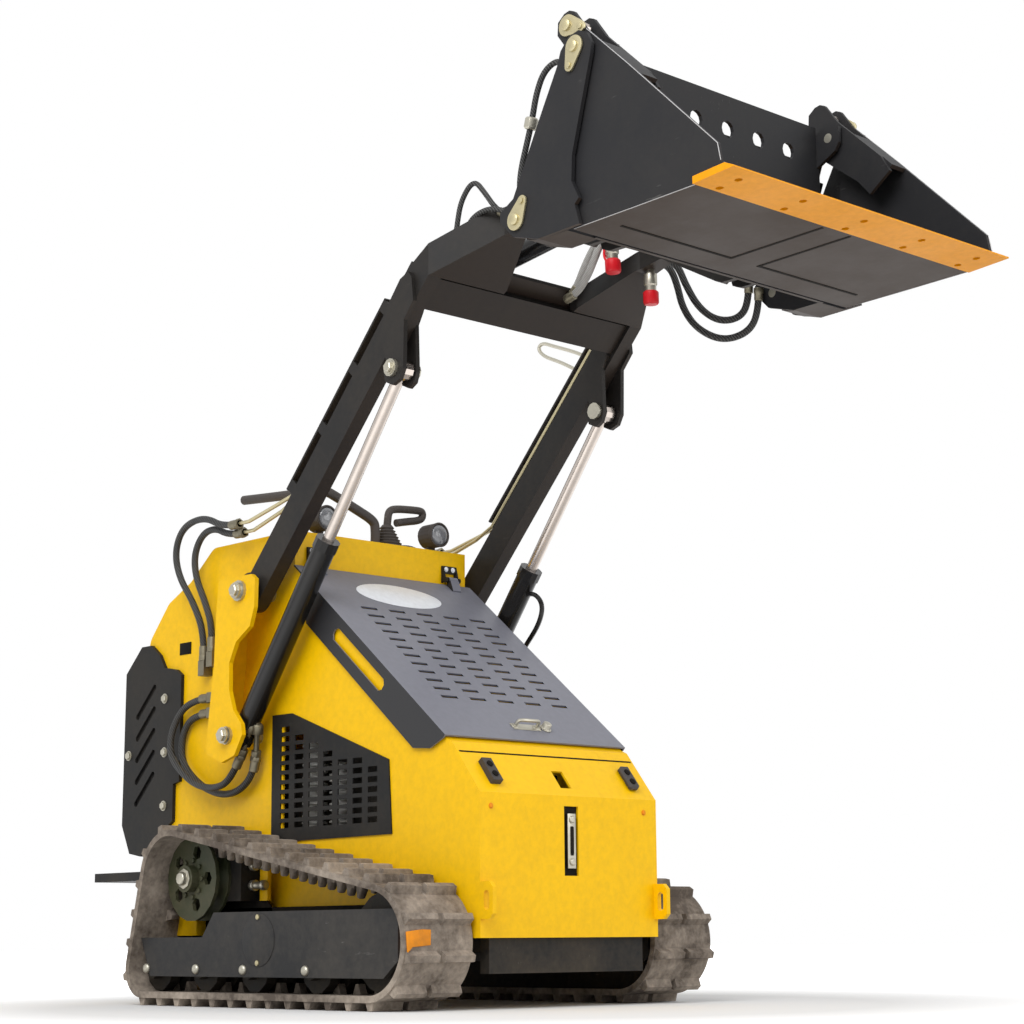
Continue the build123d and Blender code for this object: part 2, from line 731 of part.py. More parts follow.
# ---- bucket: quick attach, back unit, clam ------------------------------------------------------
attach_x = back_x - 18
with BuildPart() as quick_attach:
    with Locations((datum_x + back_x - 9, 0, 1855)):
        Box(18, 600, 310)
    for name, side in sides:
        for lo, hi in ((nose_inner - 20, nose_inner - 6), (nose_outer + 6, nose_outer + 20)):
            with BuildSketch(side_plane(side_start(side, lo, hi))):
                with BuildLine():
                    Polyline((1262, 1715), (1285, 1706), (attach_x, 1706), (attach_x, 1900),
                             (1340, 1850), (1270, 1780), (1252, 1750), close=True)
                make_face()
                with Locations(tilt_pivot):
                    round_bore(tilt_pin + run_clearance)
            extrude(amount=hi - lo)
    for lo, hi in ((tilt_y + 22, tilt_y + 34), (tilt_y - 34, tilt_y - 22)):
        with BuildSketch(side_plane(hi)):
            with BuildLine():
                Polyline((attach_x, 1800), (attach_x, 1960), (1330, 1905), (1306, 1900),
                         (1296, 1880), (1300, 1856), (1320, 1846), close=True)
            make_face()
        extrude(amount=hi - lo)
save(quick_attach, "quick_attach")

back_outline = ((1504, 2091), (1519, 2064), (1515, 2038), (1455, 1825), (1452, 1765),
                (1474, 1722), (1461, 1711), (1475, 1664), (1346, 1660), (1266, 1683),
                (1224, 1726), (1224, 1747), (1267, 1771), (1339, 1906), (1366, 1956),
                (1412, 2039), (1423, 2070), (1448, 2096), (1480, 2102))
back_inner_outline = ((1503, 2090), (1503, 2050), (1490, 2030), (back_x + plate, 2000),
                      (back_x + plate, floor_z)) + back_outline[8:]
with BuildPart() as bucket_back:
    with BuildSketch(Plane(origin=(datum_x + back_x + plate, 0, 0), x_dir=(0, 1, 0),
                           z_dir=(1, 0, 0))):
        with Locations((0, (floor_z + 2103) / 2)):
            Rectangle(2 * rear_inner, 2103 - floor_z)
        with Locations((0, 2020)):
            with GridLocations(109, 1, 6, 1):
                RegularPolygon(21, 12, mode=Mode.SUBTRACT)
    extrude(amount=-plate)
    for name, side in sides:
        for lo, outline in ((rear_inner, back_inner_outline), (rear_outer - plate, back_outline)):
            with BuildSketch(side_plane(side_start(side, lo, lo + plate))):
                with BuildLine():
                    Polyline(*outline, close=True)
                make_face()
                with Locations(clam_pivot, clam_base):
                    RegularPolygon(clam_hinge_pin, bolt_sides, mode=Mode.SUBTRACT)
            extrude(amount=plate)
        with BuildSketch(side_plane(side_start(side, rear_inner + plate, rear_outer - plate))):
            with BuildLine():
                Polyline((1300, 1671), (1346, 1660), (1427, 1662), (1427, 1672), (1347, 1670),
                         (1303, 1681), close=True)
            make_face()
        extrude(amount=rear_outer - rear_inner - 2 * plate)
save(bucket_back, "bucket_back")

with BuildPart() as bucket_pins:
    for name, side in sides:
        for center in (clam_pivot, clam_base):
            with BuildSketch(side_plane(side_start(side, rear_inner, rear_outer + 10))):
                with Locations(center):
                    RegularPolygon(clam_hinge_pin, bolt_sides)
            extrude(amount=rear_outer + 10 - rear_inner)
            with BuildSketch(side_plane(side_start(side, rear_outer, rear_outer + 5))):
                with Locations(center):
                    RegularPolygon(21, bolt_sides)
            extrude(amount=5)
save(bucket_pins, "bucket_pins")

edge_low = (1796.0, 1672.0)  # cutting edge, lower rear corner
edge_high = (1796.0, 1688.0)
edge_bevel = (1884.0, 1695.0)
floor_front = toward(edge_high, edge_bevel, 74)
floor_profile = ((1440, floor_z), edge_low, edge_high, floor_front,
                 (floor_front[0], floor_front[1] + plate), (1790, 1698), (1785, 1682),
                 (1450, 1672), (1440, 1672))
clam_outline = ((1420, 2163), (1400, 2148), (1398, 2118), (1432, 2072), (1440, 2020),
                (1440, floor_z), edge_low, edge_high, edge_bevel, (1867, 1706),
                (1860, 1745), (1614, 1988), (1488, 2108), (1450, 2160), (1436, 2166))
ear_outline = ((1420, 2163), (1400, 2148), (1398, 2118), (1429, 2030), (1544, 1941), (1579, 1901),
               (1640, 1945), (1614, 1988), (1488, 2108), (1450, 2160), (1436, 2166))
with BuildPart() as clam:
    with BuildSketch(side_plane(side_outer - plate)):
        with BuildLine():
            Polyline(*floor_profile, close=True)
        make_face()
    extrude(amount=2 * (side_outer - plate))
    for name, side in sides:
        for lo, outline in ((side_outer - plate, clam_outline), (ear_inner, ear_outline)):
            with BuildSketch(side_plane(side_start(side, lo, lo + plate))):
                with BuildLine():
                    Polyline(*outline, close=True)
                make_face()
                with Locations(clam_pivot):
                    round_bore(clam_hinge_pin + run_clearance)
            extrude(amount=plate)
        with BuildSketch(side_plane(side_start(side, ear_inner + plate, side_outer - plate))):
            with BuildLine():
                Polyline((1530, 2068), (1614, 1988), (1640, 1962), (1633, 1955), (1607, 1981),
                         (1523, 2061), close=True)
            make_face()
        extrude(amount=side_outer - ear_inner - 2 * plate)
save(clam, "clam")

with BuildPart() as cutting_edge:
    with BuildSketch(side_plane(bucket_half)):
        with BuildLine():
            Polyline(edge_low, (bucket_tip_x, 1681), (bucket_tip_x, 1684), edge_bevel,
                     edge_high, close=True)
        make_face()
    extrude(amount=2 * bucket_half)
    # five pairs of bolt holes, each pair one behind the other
    with BuildSketch(plan_plane(edge_low[1] - 1)):
        with Locations((edge_low[0] + 42, 0)):
            with GridLocations(52, 2 * (bucket_half - 65) / 4, 2, 5):
                RegularPolygon(9, 8)
    extrude(amount=30, mode=Mode.SUBTRACT)
save(cutting_edge, "cutting_edge")

# ---- fittings on the body -----------------------------------------------------------------------
# tie-down loops on the front corners
with BuildPart() as tie_downs:
    for name, side in sides:
        with BuildSketch(side_plane(side_start(side, body_half - 12, body_half))):
            with Locations((front_x + 21, 243)):
                with BuildSketch(mode=Mode.PRIVATE) as loop_plate:
                    Rectangle(42, 84)
                    chamfer(loop_plate.vertices().sort_by(Axis.X)[-2:], 12)
                add(loop_plate.sketch)
                long_hole(18, 44)
        extrude(amount=12)
save(tie_downs, "tie_downs")

# sight gauge behind the slot in the front panel
with BuildPart() as level_gauge:
    inner_face = front_x - body_wall
    with Locations((datum_x + inner_face - 2, 0, 382)):
        Box(4, 70, 186)
    with Locations((datum_x + inner_face + 3, 0, 382)):
        Box(6, 26, 124)
save(level_gauge, "level_gauge")

# rubber buffers under the arms' cross tube when the arms are down
lean_plane = Plane(origin=(datum_x + front_x, 0, front_bend_z), x_dir=(0, 1, 0),
                   z_dir=(math.sin(math.radians(lean)), 0, -math.cos(math.radians(lean))))
with BuildPart() as buffers:
    with BuildSketch(lean_plane):
        with Locations((body_half - 63, 60), (63 - body_half, 60)):
            Rectangle(30, 68)
    extrude(amount=buffer_height)
    chamfer(buffers.faces().sort_by_distance(lean_plane.origin + 400 * lean_plane.z_dir)[:2]
            .edges(), 5)
save(buffers, "buffers")

# lamps on the console, right and left
with BuildPart() as lamps:
    for name, side in sides:
        with BuildSketch(Plane(origin=(datum_x + 190, side * lamp_y, lamp_z), x_dir=(0, 1, 0),
                               z_dir=(1, 0, 0))):
            RegularPolygon(lamp_radius, wheel_sides)
        extrude(amount=50)
        with Locations((datum_x + 205, side * lamp_y, (console_top + lamp_z) / 2)):
            Box(8, 26, lamp_z - console_top)
save(lamps, "lamps")

# rail beside the operator's hand, then the lever with its rubber boot and closed grip
with BuildPart() as hand_rail:
    add(bar([(datum_x + x, y, z) for x, y, z in
             ((-160, -165, 1340), (203, -165, 1312), (203, 0, 1250), (203, 0, console_top))],
            rail_radius))
save(hand_rail, "hand_rail")

lever_foot = (185.0, 55.0)
with BuildPart() as lever:
    with BuildSketch(plan_plane(console_top)) as boot_foot:
        with Locations(lever_foot):
            RegularPolygon(38, wheel_sides)
    extrude(amount=48, taper=20)
    add(bar([(datum_x + x, lever_foot[1] + y, z) for x, y, z in
             ((185, 0, 1230), (190, 0, 1284), (190, 118, 1298), (186, 118, 1274),
              (188, 30, 1254))], 9))
save(lever, "lever")

# handle and lock at the foot of the hood
with BuildPart() as hood_latch:
    with BuildSketch(hood_face_plane(0)):
        with Locations((0, 58)):
            Rectangle(84, 16)
        with Locations((66, 58)):
            RegularPolygon(15, bolt_sides)
    extrude(amount=12)
save(hood_latch, "hood_latch")

# ---- hydraulic hoses and lines ------------------------------------------------------------------
# route points as datum X, distance from the middle, Z: from the port on the side wall
hose_routes = (
    ("upper_rear", ((-132, 309, 885), (-132, 309, 958), (-172, 318, 1045), (-226, 328, 1118),
                    (-236, 337, 1190), (-188, 344, 1250), (-86, 347, 1262), (4, 348, 1221),
                    (74, 348, 1221))),
    ("upper_front", ((-96, 309, 906), (-96, 309, 972), (-124, 314, 1042), (-160, 319, 1108),
                     (-164, 324, 1172), (-122, 328, 1222), (-58, 331, 1230), (8, 332, 1200),
                     (74, 332, 1200))),
    ("lower_outer", ((-104, 306, 785), (-196, 306, 785), (-249, 318, 732), (-249, 334, 658),
                     (-196, 342, 605), (-112, 345, 556), (-22, 345, 540), (50, 345, 560),
                     (92, 345, 622))),
    ("lower_inner", ((-104, 304, 745), (-183, 304, 745), (-230, 305, 698), (-230, 306, 632),
                     (-183, 308, 585), (-98, 312, 541), (-6, 316, 524), (66, 318, 540),
                     (108, 318, 578), (118, 318, 616))),
)


def bend_radii(points):
    """Arc radius at each inner point of a route, as large as its two runs allow."""
    radii = []
    for before, here, after in zip(points, points[1:], points[2:]):
        back, on = Vector(*before) - Vector(*here), Vector(*after) - Vector(*here)
        turn = math.radians(180 - back.get_angle(on))
        radii.append(0.45 * min(back.length, on.length) / math.tan(turn / 2))
    return radii


for name, side in sides:
    for label, points in hose_routes:
        route = [(x + datum_x, side * y, z) for x, y, z in points]
        radii = bend_radii(route)
        with BuildPart() as hose:
            with BuildLine() as path:
                FilletPolyline(*route, radius=radii)
            with BuildSketch(Plane(origin=path.line @ 0, z_dir=path.line % 0)):
                RegularPolygon(hose_radius, 6)
            sweep()
        save(hose, f"hose_{label}_{name}")
        print("hose", label, name, "length", round(path.wire().length), "radii",
              [round(radius) for radius in radii])

# port blocks on the side walls that the hoses leave from
with BuildPart() as hose_ports:
    for name, side in sides:
        with BuildSketch(side_plane(side_start(side, body_half, body_half + 28))):
            for label, points in hose_routes:
                x, y, z = points[0]
                with Locations((x, z - 20) if label.startswith("upper") else (x + 17, z)):
                    Rectangle(26, 40) if label.startswith("upper") else Rectangle(34, 26)
        extrude(amount=28)
save(hose_ports, "hose_ports")

# hard lines along the arms, from the ends of the upper hoses
with BuildPart() as arm_lines:
    for name, side in sides:
        for points, rise in ((hose_routes[0][1], 0), (hose_routes[1][1], -14)):
            x, y, z = points[-1]
            add(bar([(datum_x + x + run_clearance, side * y, z),
                     (datum_x + x + 40, side * y, z), (datum_x + 235, side * y, 1247 + rise),
                     (datum_x + 300, side * y, 1262), (datum_x + 690, side * y, 1681)],
                    line_radius))
save(arm_lines, "arm_lines")
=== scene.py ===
import bpy
import bmesh
import math
from mathutils import Matrix, Vector


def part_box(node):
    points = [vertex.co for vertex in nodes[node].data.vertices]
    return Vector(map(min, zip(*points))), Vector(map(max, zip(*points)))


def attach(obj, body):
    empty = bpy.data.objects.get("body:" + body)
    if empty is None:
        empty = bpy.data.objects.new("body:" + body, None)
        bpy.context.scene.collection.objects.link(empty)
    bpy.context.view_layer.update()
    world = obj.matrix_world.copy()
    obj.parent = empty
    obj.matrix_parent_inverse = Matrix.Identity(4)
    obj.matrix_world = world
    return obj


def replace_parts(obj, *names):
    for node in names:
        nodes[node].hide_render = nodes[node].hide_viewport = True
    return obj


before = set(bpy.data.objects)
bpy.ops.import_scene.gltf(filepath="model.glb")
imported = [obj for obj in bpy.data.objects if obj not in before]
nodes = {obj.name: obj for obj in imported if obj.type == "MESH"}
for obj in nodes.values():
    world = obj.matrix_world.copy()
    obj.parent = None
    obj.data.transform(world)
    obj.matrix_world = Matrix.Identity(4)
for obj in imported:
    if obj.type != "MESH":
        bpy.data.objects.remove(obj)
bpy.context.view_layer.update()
bpy.ops.object.select_all(action="DESELECT")
print("frame loaded:", len(nodes), "CAD nodes")

# side drawings of the machine measure forward from the drive axle, in millimetres
axle = sum(corner.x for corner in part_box("sprockets")) / 2 + 0.005


def spot(x, y, z):
    return Vector((axle + x / 1000, y / 1000, z / 1000))


# colours are written as screen values and turned into light values here
def tone(red, green, blue):
    def channel(value):
        value /= 255
        return value / 12.92 if value <= 0.04045 else ((value + 0.055) / 1.055) ** 2.4
    return (channel(red), channel(green), channel(blue), 1.0)


def setInputs(node, values):
    for name, value in values.items():
        node.inputs[name].default_value = value


# writes a number or colour into the socket, or links an output to it
def feed(tree, value, socket):
    if isinstance(value, (int, float, tuple)):
        socket.default_value = value
    else:
        tree.links.new(value, socket)


def addNode(tree, kind, **values):
    node = tree.nodes.new("ShaderNode" + kind)
    setInputs(node, values)
    return node


def noise(tree, coords, scale, detail, roughness):
    node = addNode(tree, "TexNoise", Scale=scale, Detail=detail, Roughness=roughness)
    tree.links.new(coords, node.inputs["Vector"])
    return node.outputs["Fac"]


def ramp(tree, source, low, high):
    node = addNode(tree, "MapRange")
    node.clamp = True
    setInputs(node, {"From Min": low, "From Max": high})
    tree.links.new(source, node.inputs["Value"])
    return node.outputs["Result"]


def combine(tree, kind, first, second):
    node = addNode(tree, "Math")
    node.operation = kind
    node.use_clamp = kind in ("MULTIPLY", "ADD", "MAXIMUM")
    for index, value in enumerate((first, second)):
        feed(tree, value, node.inputs[index])
    return node.outputs[0]


def blendColour(tree, amount, first, second):
    node = addNode(tree, "Mix")
    node.data_type = "RGBA"
    for socket, value in ((node.inputs[0], amount), (node.inputs[6], first),
                          (node.inputs[7], second)):
        feed(tree, value, socket)
    return node.outputs[2]


# a used surface with painted light: blotches, dust from below, scratches, painted warm light on
# faces that point down, painted shade on faces that point sideways
def makeWearAndLightGroup():
    wearAndLight = {"blotch": (5.0, 6.0, 0.62), "grain": (60.0, 3.0, 0.6), "fine": (420.0, 2.0, 0.5),
            "patch": (0.55, 0.95), "patchGrain": 0.35, "dustEverywhere": 0.3, "dustLow": 0.7,
            "streakScale": (6.0, 90.0, 34.0), "streakTurn": (0.4, 0.3, 0.5),
            "streak": (2.2, 5.0, 0.55), "streakBand": (0.66, 0.72), "streakArea": (0.5, 0.6),
            "mottleBand": (0.35, 0.75), "mottle": 0.10, "mottleColour": (0.02, 0.02, 0.02, 1),
            # painted warm light for faces that point down, painted shade for faces that point
            # sideways
            "paintedUnderLightBand": (-0.25, -0.9), "paintedUnderLightColour": (0.045, 0.028, 0.018, 1),
            "paintedSideShadeBand": (0.5, 0.9), "paintedSideShadeColour": (0.02, 0.02, 0.022, 1),
            "roughBlotch": 0.22, "roughShare": 0.5}
    group = bpy.data.node_groups.new("wearAndPaintedLight", "ShaderNodeTree")
    for way, kind, labels in (
            ("INPUT", "NodeSocketColor", ("Paint", "Dust", "Bare")),
            ("INPUT", "NodeSocketFloat", ("Dust Amount", "Dust Height", "Scratch Amount",
                                          "Base Roughness", "Painted Under Light", "Side Shade")),
            ("OUTPUT", "NodeSocketColor", ("Color",)),
            ("OUTPUT", "NodeSocketFloat", ("Roughness", "Height"))):
        for label in labels:
            group.interface.new_socket(label, in_out=way, socket_type=kind)
    inlet = group.nodes.new("NodeGroupInput")
    outlet = group.nodes.new("NodeGroupOutput")

    def times(first, second):
        return combine(group, "MULTIPLY", first, second)

    def plus(first, second):
        return combine(group, "ADD", first, second)

    coords = addNode(group, "TexCoord").outputs["Object"]
    split = addNode(group, "SeparateXYZ")
    group.links.new(coords, split.inputs[0])
    blotch = noise(group, coords, *wearAndLight["blotch"])
    grain = noise(group, coords, *wearAndLight["grain"])
    fine = noise(group, coords, *wearAndLight["fine"])
    reach = combine(group, "DIVIDE", split.outputs["Z"], inlet.outputs["Dust Height"])
    low = combine(group, "SUBTRACT", 1.0, ramp(group, reach, 0.0, 1.0))
    patch = ramp(group, plus(blotch, times(grain, wearAndLight["patchGrain"])), *wearAndLight["patch"])
    spread = plus(times(low, wearAndLight["dustLow"]), wearAndLight["dustEverywhere"])
    dust = times(times(patch, spread), inlet.outputs["Dust Amount"])
    stretched = addNode(group, "Mapping", Scale=wearAndLight["streakScale"],
                        Rotation=wearAndLight["streakTurn"])
    group.links.new(coords, stretched.inputs["Vector"])
    streak = ramp(group, noise(group, stretched.outputs[0], *wearAndLight["streak"]),
                  *wearAndLight["streakBand"])
    scratch = times(times(streak, ramp(group, blotch, *wearAndLight["streakArea"])),
                    inlet.outputs["Scratch Amount"])
    mottle = times(ramp(group, grain, *wearAndLight["mottleBand"]), wearAndLight["mottle"])
    shade = blendColour(group, mottle, inlet.outputs["Paint"], wearAndLight["mottleColour"])
    wornAndEdgeGlint = blendColour(group, scratch, shade, inlet.outputs["Bare"])
    dusty = blendColour(group, dust, wornAndEdgeGlint, inlet.outputs["Dust"])
    facing = addNode(group, "SeparateXYZ")
    group.links.new(addNode(group, "NewGeometry").outputs["True Normal"],
                    facing.inputs[0])
    # painted warm light on faces that point down, chosen by the true normal
    underLightShare = times(ramp(group, facing.outputs["Z"], *wearAndLight["paintedUnderLightBand"]),
                  inlet.outputs["Painted Under Light"])
    withUnderLight = blendColour(group, underLightShare, dusty, wearAndLight["paintedUnderLightColour"])
    # painted shade on faces that point sideways, chosen by the true normal
    sideways = combine(group, "ABSOLUTE", facing.outputs["Y"], 0.0)
    shaded = times(ramp(group, sideways, *wearAndLight["paintedSideShadeBand"]), inlet.outputs["Side Shade"])
    group.links.new(blendColour(group, shaded, withUnderLight, wearAndLight["paintedSideShadeColour"]),
                    outlet.inputs["Color"])
    rougher = times(plus(dust, times(blotch, wearAndLight["roughBlotch"])), wearAndLight["roughShare"])
    group.links.new(plus(inlet.outputs["Base Roughness"], rougher), outlet.inputs["Roughness"])
    group.links.new(plus(times(fine, 0.5), times(grain, 0.5)), outlet.inputs["Height"])
    return group


wearAndLightGroup = makeWearAndLightGroup()


# material maker: its input for warm undersides paints warm light on faces that point down, its
# side shade input paints shade on sideways faces
def wearAndLightMaterial(name, paint, dust=tone(150, 132, 108), dustAmount=0.3, dustHeight=0.6,
                 scratch=0.2, roughness=0.4, metallic=0.0, coat=0.0, gloss=0.3,
                 paintedUnderLight=0.0, sideShade=0.0, bump=0.05, bumpDepth=0.0004):
    material = bpy.data.materials.new(name)
    material.use_nodes = True
    tree = material.node_tree
    shader = tree.nodes["Principled BSDF"]
    setInputs(shader, {"Metallic": metallic, "Coat Weight": coat, "Coat Roughness": 0.12,
                       "Specular IOR Level": gloss})
    wearAndLight = addNode(tree, "Group")
    wearAndLight.node_tree = wearAndLightGroup
    setInputs(wearAndLight, {"Paint": paint, "Dust": dust, "Bare": tone(150, 148, 144),
                     "Dust Amount": dustAmount, "Dust Height": dustHeight,
                     "Scratch Amount": scratch, "Base Roughness": roughness,
                     "Painted Under Light": paintedUnderLight, "Side Shade": sideShade})
    tree.links.new(wearAndLight.outputs["Color"], shader.inputs["Base Color"])
    tree.links.new(wearAndLight.outputs["Roughness"], shader.inputs["Roughness"])
    bumpNode = addNode(tree, "Bump", Strength=bump, Distance=bumpDepth)
    tree.links.new(wearAndLight.outputs["Height"], bumpNode.inputs["Height"])
    tree.links.new(bumpNode.outputs[0], shader.inputs["Normal"])
    return material


yellowPaint = wearAndLightMaterial(
    "yellowPaint", tone(244, 192, 0), dust=tone(196, 140, 40), dustAmount=0.18, dustHeight=0.7,
    scratch=0.04, roughness=0.34, gloss=0.22, bump=0.12)
blackPaint = wearAndLightMaterial(
    "blackPaint", tone(30, 30, 30), dustAmount=0.16, dustHeight=0.5, scratch=0.12, roughness=0.42,
    gloss=0.15)
framePaint = wearAndLightMaterial(
    "framePaint", tone(42, 42, 43), dust=tone(110, 104, 96), dustAmount=0.4, dustHeight=0.5,
    scratch=0.4, roughness=0.5, gloss=0.2)
# the arm's faces that point down get painted warm light
armPaint = wearAndLightMaterial(
    "armPaint", tone(32, 31, 31), dustAmount=0.08, dustHeight=3.0, scratch=0.06, gloss=0.18,
    paintedUnderLight=0.5)
# the hood's sideways flanges get painted shade
hoodPaint = wearAndLightMaterial(
    "hoodPaint", tone(118, 119, 129), dustAmount=0.06, scratch=0.05, roughness=0.38, gloss=0.35,
    sideShade=1.0, bump=0.2)
# the bucket's faces that point down get painted warm light
bucketPaint = wearAndLightMaterial(
    "bucketPaint", tone(41, 41, 43), dust=tone(84, 79, 72), dustAmount=0.16, dustHeight=8.0,
    scratch=0.16, roughness=0.42, gloss=0.12, paintedUnderLight=0.85)
edgePaint = wearAndLightMaterial(
    "edgePaint", tone(240, 158, 0), dust=tone(176, 108, 8), dustAmount=0.14, dustHeight=8.0,
    scratch=0.15, gloss=0.2)
trackRubber = wearAndLightMaterial(
    "trackRubber", tone(92, 83, 75), dust=tone(204, 190, 174), dustAmount=0.85, dustHeight=1.6,
    scratch=0.0, roughness=0.75, gloss=0.15, bump=0.5, bumpDepth=0.0015)
castIron = wearAndLightMaterial("castIron", tone(50, 56, 36), dustAmount=0.25, roughness=0.45)
rollerPaint = wearAndLightMaterial(
    "rollerPaint", tone(34, 32, 29), dust=tone(96, 86, 72), dustAmount=0.5, scratch=0.3,
    roughness=0.55, gloss=0.2)
orangePaint = wearAndLightMaterial(
    "orangePaint", tone(232, 142, 12), dust=tone(120, 90, 60), dustAmount=0.6, scratch=0.3,
    roughness=0.55)
zincPlate = wearAndLightMaterial(
    "zincPlate", tone(184, 180, 166), dustAmount=0.1, scratch=0.1, roughness=0.32, metallic=0.85)
agedZinc = wearAndLightMaterial(
    "agedZinc", tone(128, 122, 104), dust=tone(70, 64, 54), dustAmount=0.4, dustHeight=9.0,
    roughness=0.36, metallic=0.8)
yellowZinc = wearAndLightMaterial(
    "yellowZinc", tone(192, 182, 146), dustAmount=0.15, roughness=0.34, metallic=0.8)
chromeRod = wearAndLightMaterial(
    "chromeRod", tone(196, 186, 178), dustAmount=0.03, scratch=0.02, roughness=0.16, metallic=1.0,
    bump=0.0)
barrelPaint = wearAndLightMaterial(
    "barrelPaint", tone(18, 17, 17), dustAmount=0.05, scratch=0.03, roughness=0.18, coat=0.12)
engineMetal = wearAndLightMaterial("engineMetal", tone(40, 40, 38), dustAmount=0.4, roughness=0.6)
finMetal = wearAndLightMaterial(
    "finMetal", tone(196, 196, 192), dustHeight=2.0, roughness=0.5, metallic=0.3)
gripRubber = wearAndLightMaterial(
    "gripRubber", tone(62, 58, 57), dustAmount=0.1, dustHeight=9.0, roughness=0.5, bump=0.3)
capRed = wearAndLightMaterial("capRed", tone(220, 14, 34), dustAmount=0.05, dustHeight=9.0, roughness=0.35)
enamelWhite = wearAndLightMaterial(
    "enamelWhite", tone(238, 241, 246), dustAmount=0.03, dustHeight=9.0, roughness=0.3, bump=0.02)
braidSteel = wearAndLightMaterial(
    "braidSteel", tone(176, 174, 170), dustAmount=0.2, dustHeight=9.0, scratch=0.3, roughness=0.45,
    metallic=0.3, bump=0.4)
# painted highlights: light grey lines along the clam's edges
paintedEdgeHighlight = wearAndLightMaterial("paintedEdgeHighlight", tone(176, 176, 178), dustHeight=9.0, metallic=0.3)
# dark colour of seams, gauge glass and small parts, and the painted shade of the dark sheets
# behind the rollers
darkTrimAndPaintedShade = wearAndLightMaterial("darkTrimAndPaintedShade", tone(20, 18, 16), dustAmount=0.1, roughness=0.7, gloss=0.1)
lampGlass = wearAndLightMaterial(
    "lampGlass", tone(120, 122, 126), dustAmount=0.05, dustHeight=9.0, roughness=0.08, gloss=0.5,
    coat=0.6, bump=0.0)
hoseRubber = wearAndLightMaterial(
    "hoseRubber", tone(22, 22, 24), dust=tone(110, 108, 102), dustAmount=0.25, dustHeight=9.0,
    roughness=0.5)


# spiral guard round the hoses: bands of light on the colour and in the bump
def addWindings(material, pitch, light, share):
    winding = {"distortion": 1.5, "detail": 2.0, "bandFrom": 0.55, "bandTo": 0.95,
               "strength": 0.7, "depth": 0.0012}
    tree = material.node_tree
    shader = tree.nodes["Principled BSDF"]
    bumpNode = next(node for node in tree.nodes if node.type == "BUMP")
    coords = addNode(tree, "TexCoord").outputs["Object"]
    wave = addNode(tree, "TexWave", Scale=math.tau / 10 / pitch,
                   Distortion=winding["distortion"], Detail=winding["detail"])
    wave.bands_direction = "DIAGONAL"
    tree.links.new(coords, wave.inputs["Vector"])
    band = ramp(tree, wave.outputs["Fac"], winding["bandFrom"], winding["bandTo"])
    base = shader.inputs["Base Color"].links[0].from_socket
    shade = blendColour(tree, combine(tree, "MULTIPLY", band, share), base, light)
    tree.links.new(shade, shader.inputs["Base Color"])
    tree.links.new(band, bumpNode.inputs["Height"])
    setInputs(bumpNode, {"Strength": winding["strength"], "Distance": winding["depth"]})


addWindings(hoseRubber, 0.009, tone(128, 128, 126), 0.4)
addWindings(braidSteel, 0.006, tone(60, 60, 60), 0.5)
print("materials made")

nodeFinish = (
    (yellowPaint, ("body_shell", "towers", "tie_downs")),
    (hoodPaint, ("hood",)),
    (blackPaint, ("grilles", "rear_guards", "chassis", "platform", "hood_hinges")),
    (framePaint, ("roller_frames",)),
    (armPaint, ("arm_frame", "tilt_ears", "quick_attach", "arm_strips")),
    (bucketPaint, ("bucket_back", "clam")),
    (edgePaint, ("cutting_edge",)),
    (trackRubber, ("track_left", "track_right")),
    (castIron, ("sprockets",)),
    (rollerPaint, ("wheels",)),
    (zincPlate, ("base_pins", "arm_pins", "bucket_pins")),
    (agedZinc, ("hose_ports",)),
    (darkTrimAndPaintedShade, ("level_gauge",)),
    (yellowZinc, ("arm_lines",)),
    (engineMetal, ("engine_block",)),
    (gripRubber, ("buffers", "lamps", "lever", "hand_rail")),
)
for name, item in nodes.items():
    item.data.materials.clear()
    item.data.materials.append(
        chromeRod if name.endswith("_rod") else
        barrelPaint if name.endswith("_barrel") else blackPaint)
for finish, names in nodeFinish:
    for name in names:
        nodes[name].data.materials[0] = finish
print("CAD nodes finished")


def freeSelection():
    if bpy.context.object and bpy.context.object.mode != "OBJECT":
        bpy.ops.object.mode_set(mode="OBJECT")
    bpy.ops.object.select_all(action="DESELECT")


def choose(items):
    freeSelection()
    for item in items:
        item.select_set(True)
    bpy.context.view_layer.objects.active = items[0]


# selects the faces for which the test of middle and normal holds, in edit mode
def selectFaces(test):
    mesh = bmesh.from_edit_mesh(bpy.context.object.data)
    bpy.context.tool_settings.mesh_select_mode = (False, False, True)
    for face in mesh.faces:
        face.select_set(bool(test(face.calc_center_median(), face.normal)))
    mesh.select_flush_mode()
    bmesh.update_edit_mesh(bpy.context.object.data)


def softenEdges(item, width, segments=2):
    bevel = item.modifiers.new("edges", "BEVEL")
    bevel.width = width
    bevel.segments = segments
    bevel.limit_method = "ANGLE"
    bevel.angle_limit = math.radians(35)
    bpy.ops.object.modifier_apply(modifier="edges")


def filledCircle(name, sides, radius):
    freeSelection()
    bpy.ops.mesh.primitive_circle_add(vertices=sides, radius=radius, fill_type="NGON")
    bpy.context.object.name = name
    return bpy.context.object


# leaves edit mode with all faces turned outwards
def closedMesh(item, bevel=0.0):
    bpy.ops.mesh.select_all(action="SELECT")
    bpy.ops.mesh.normals_make_consistent(inside=False)
    bpy.ops.object.mode_set(mode="OBJECT")
    if bevel:
        softenEdges(item, bevel)
    return item


# a turn that takes X, Y and Z to the three directions
def turnTo(first, second, third):
    return Matrix((first, second, third)).transposed().to_4x4()


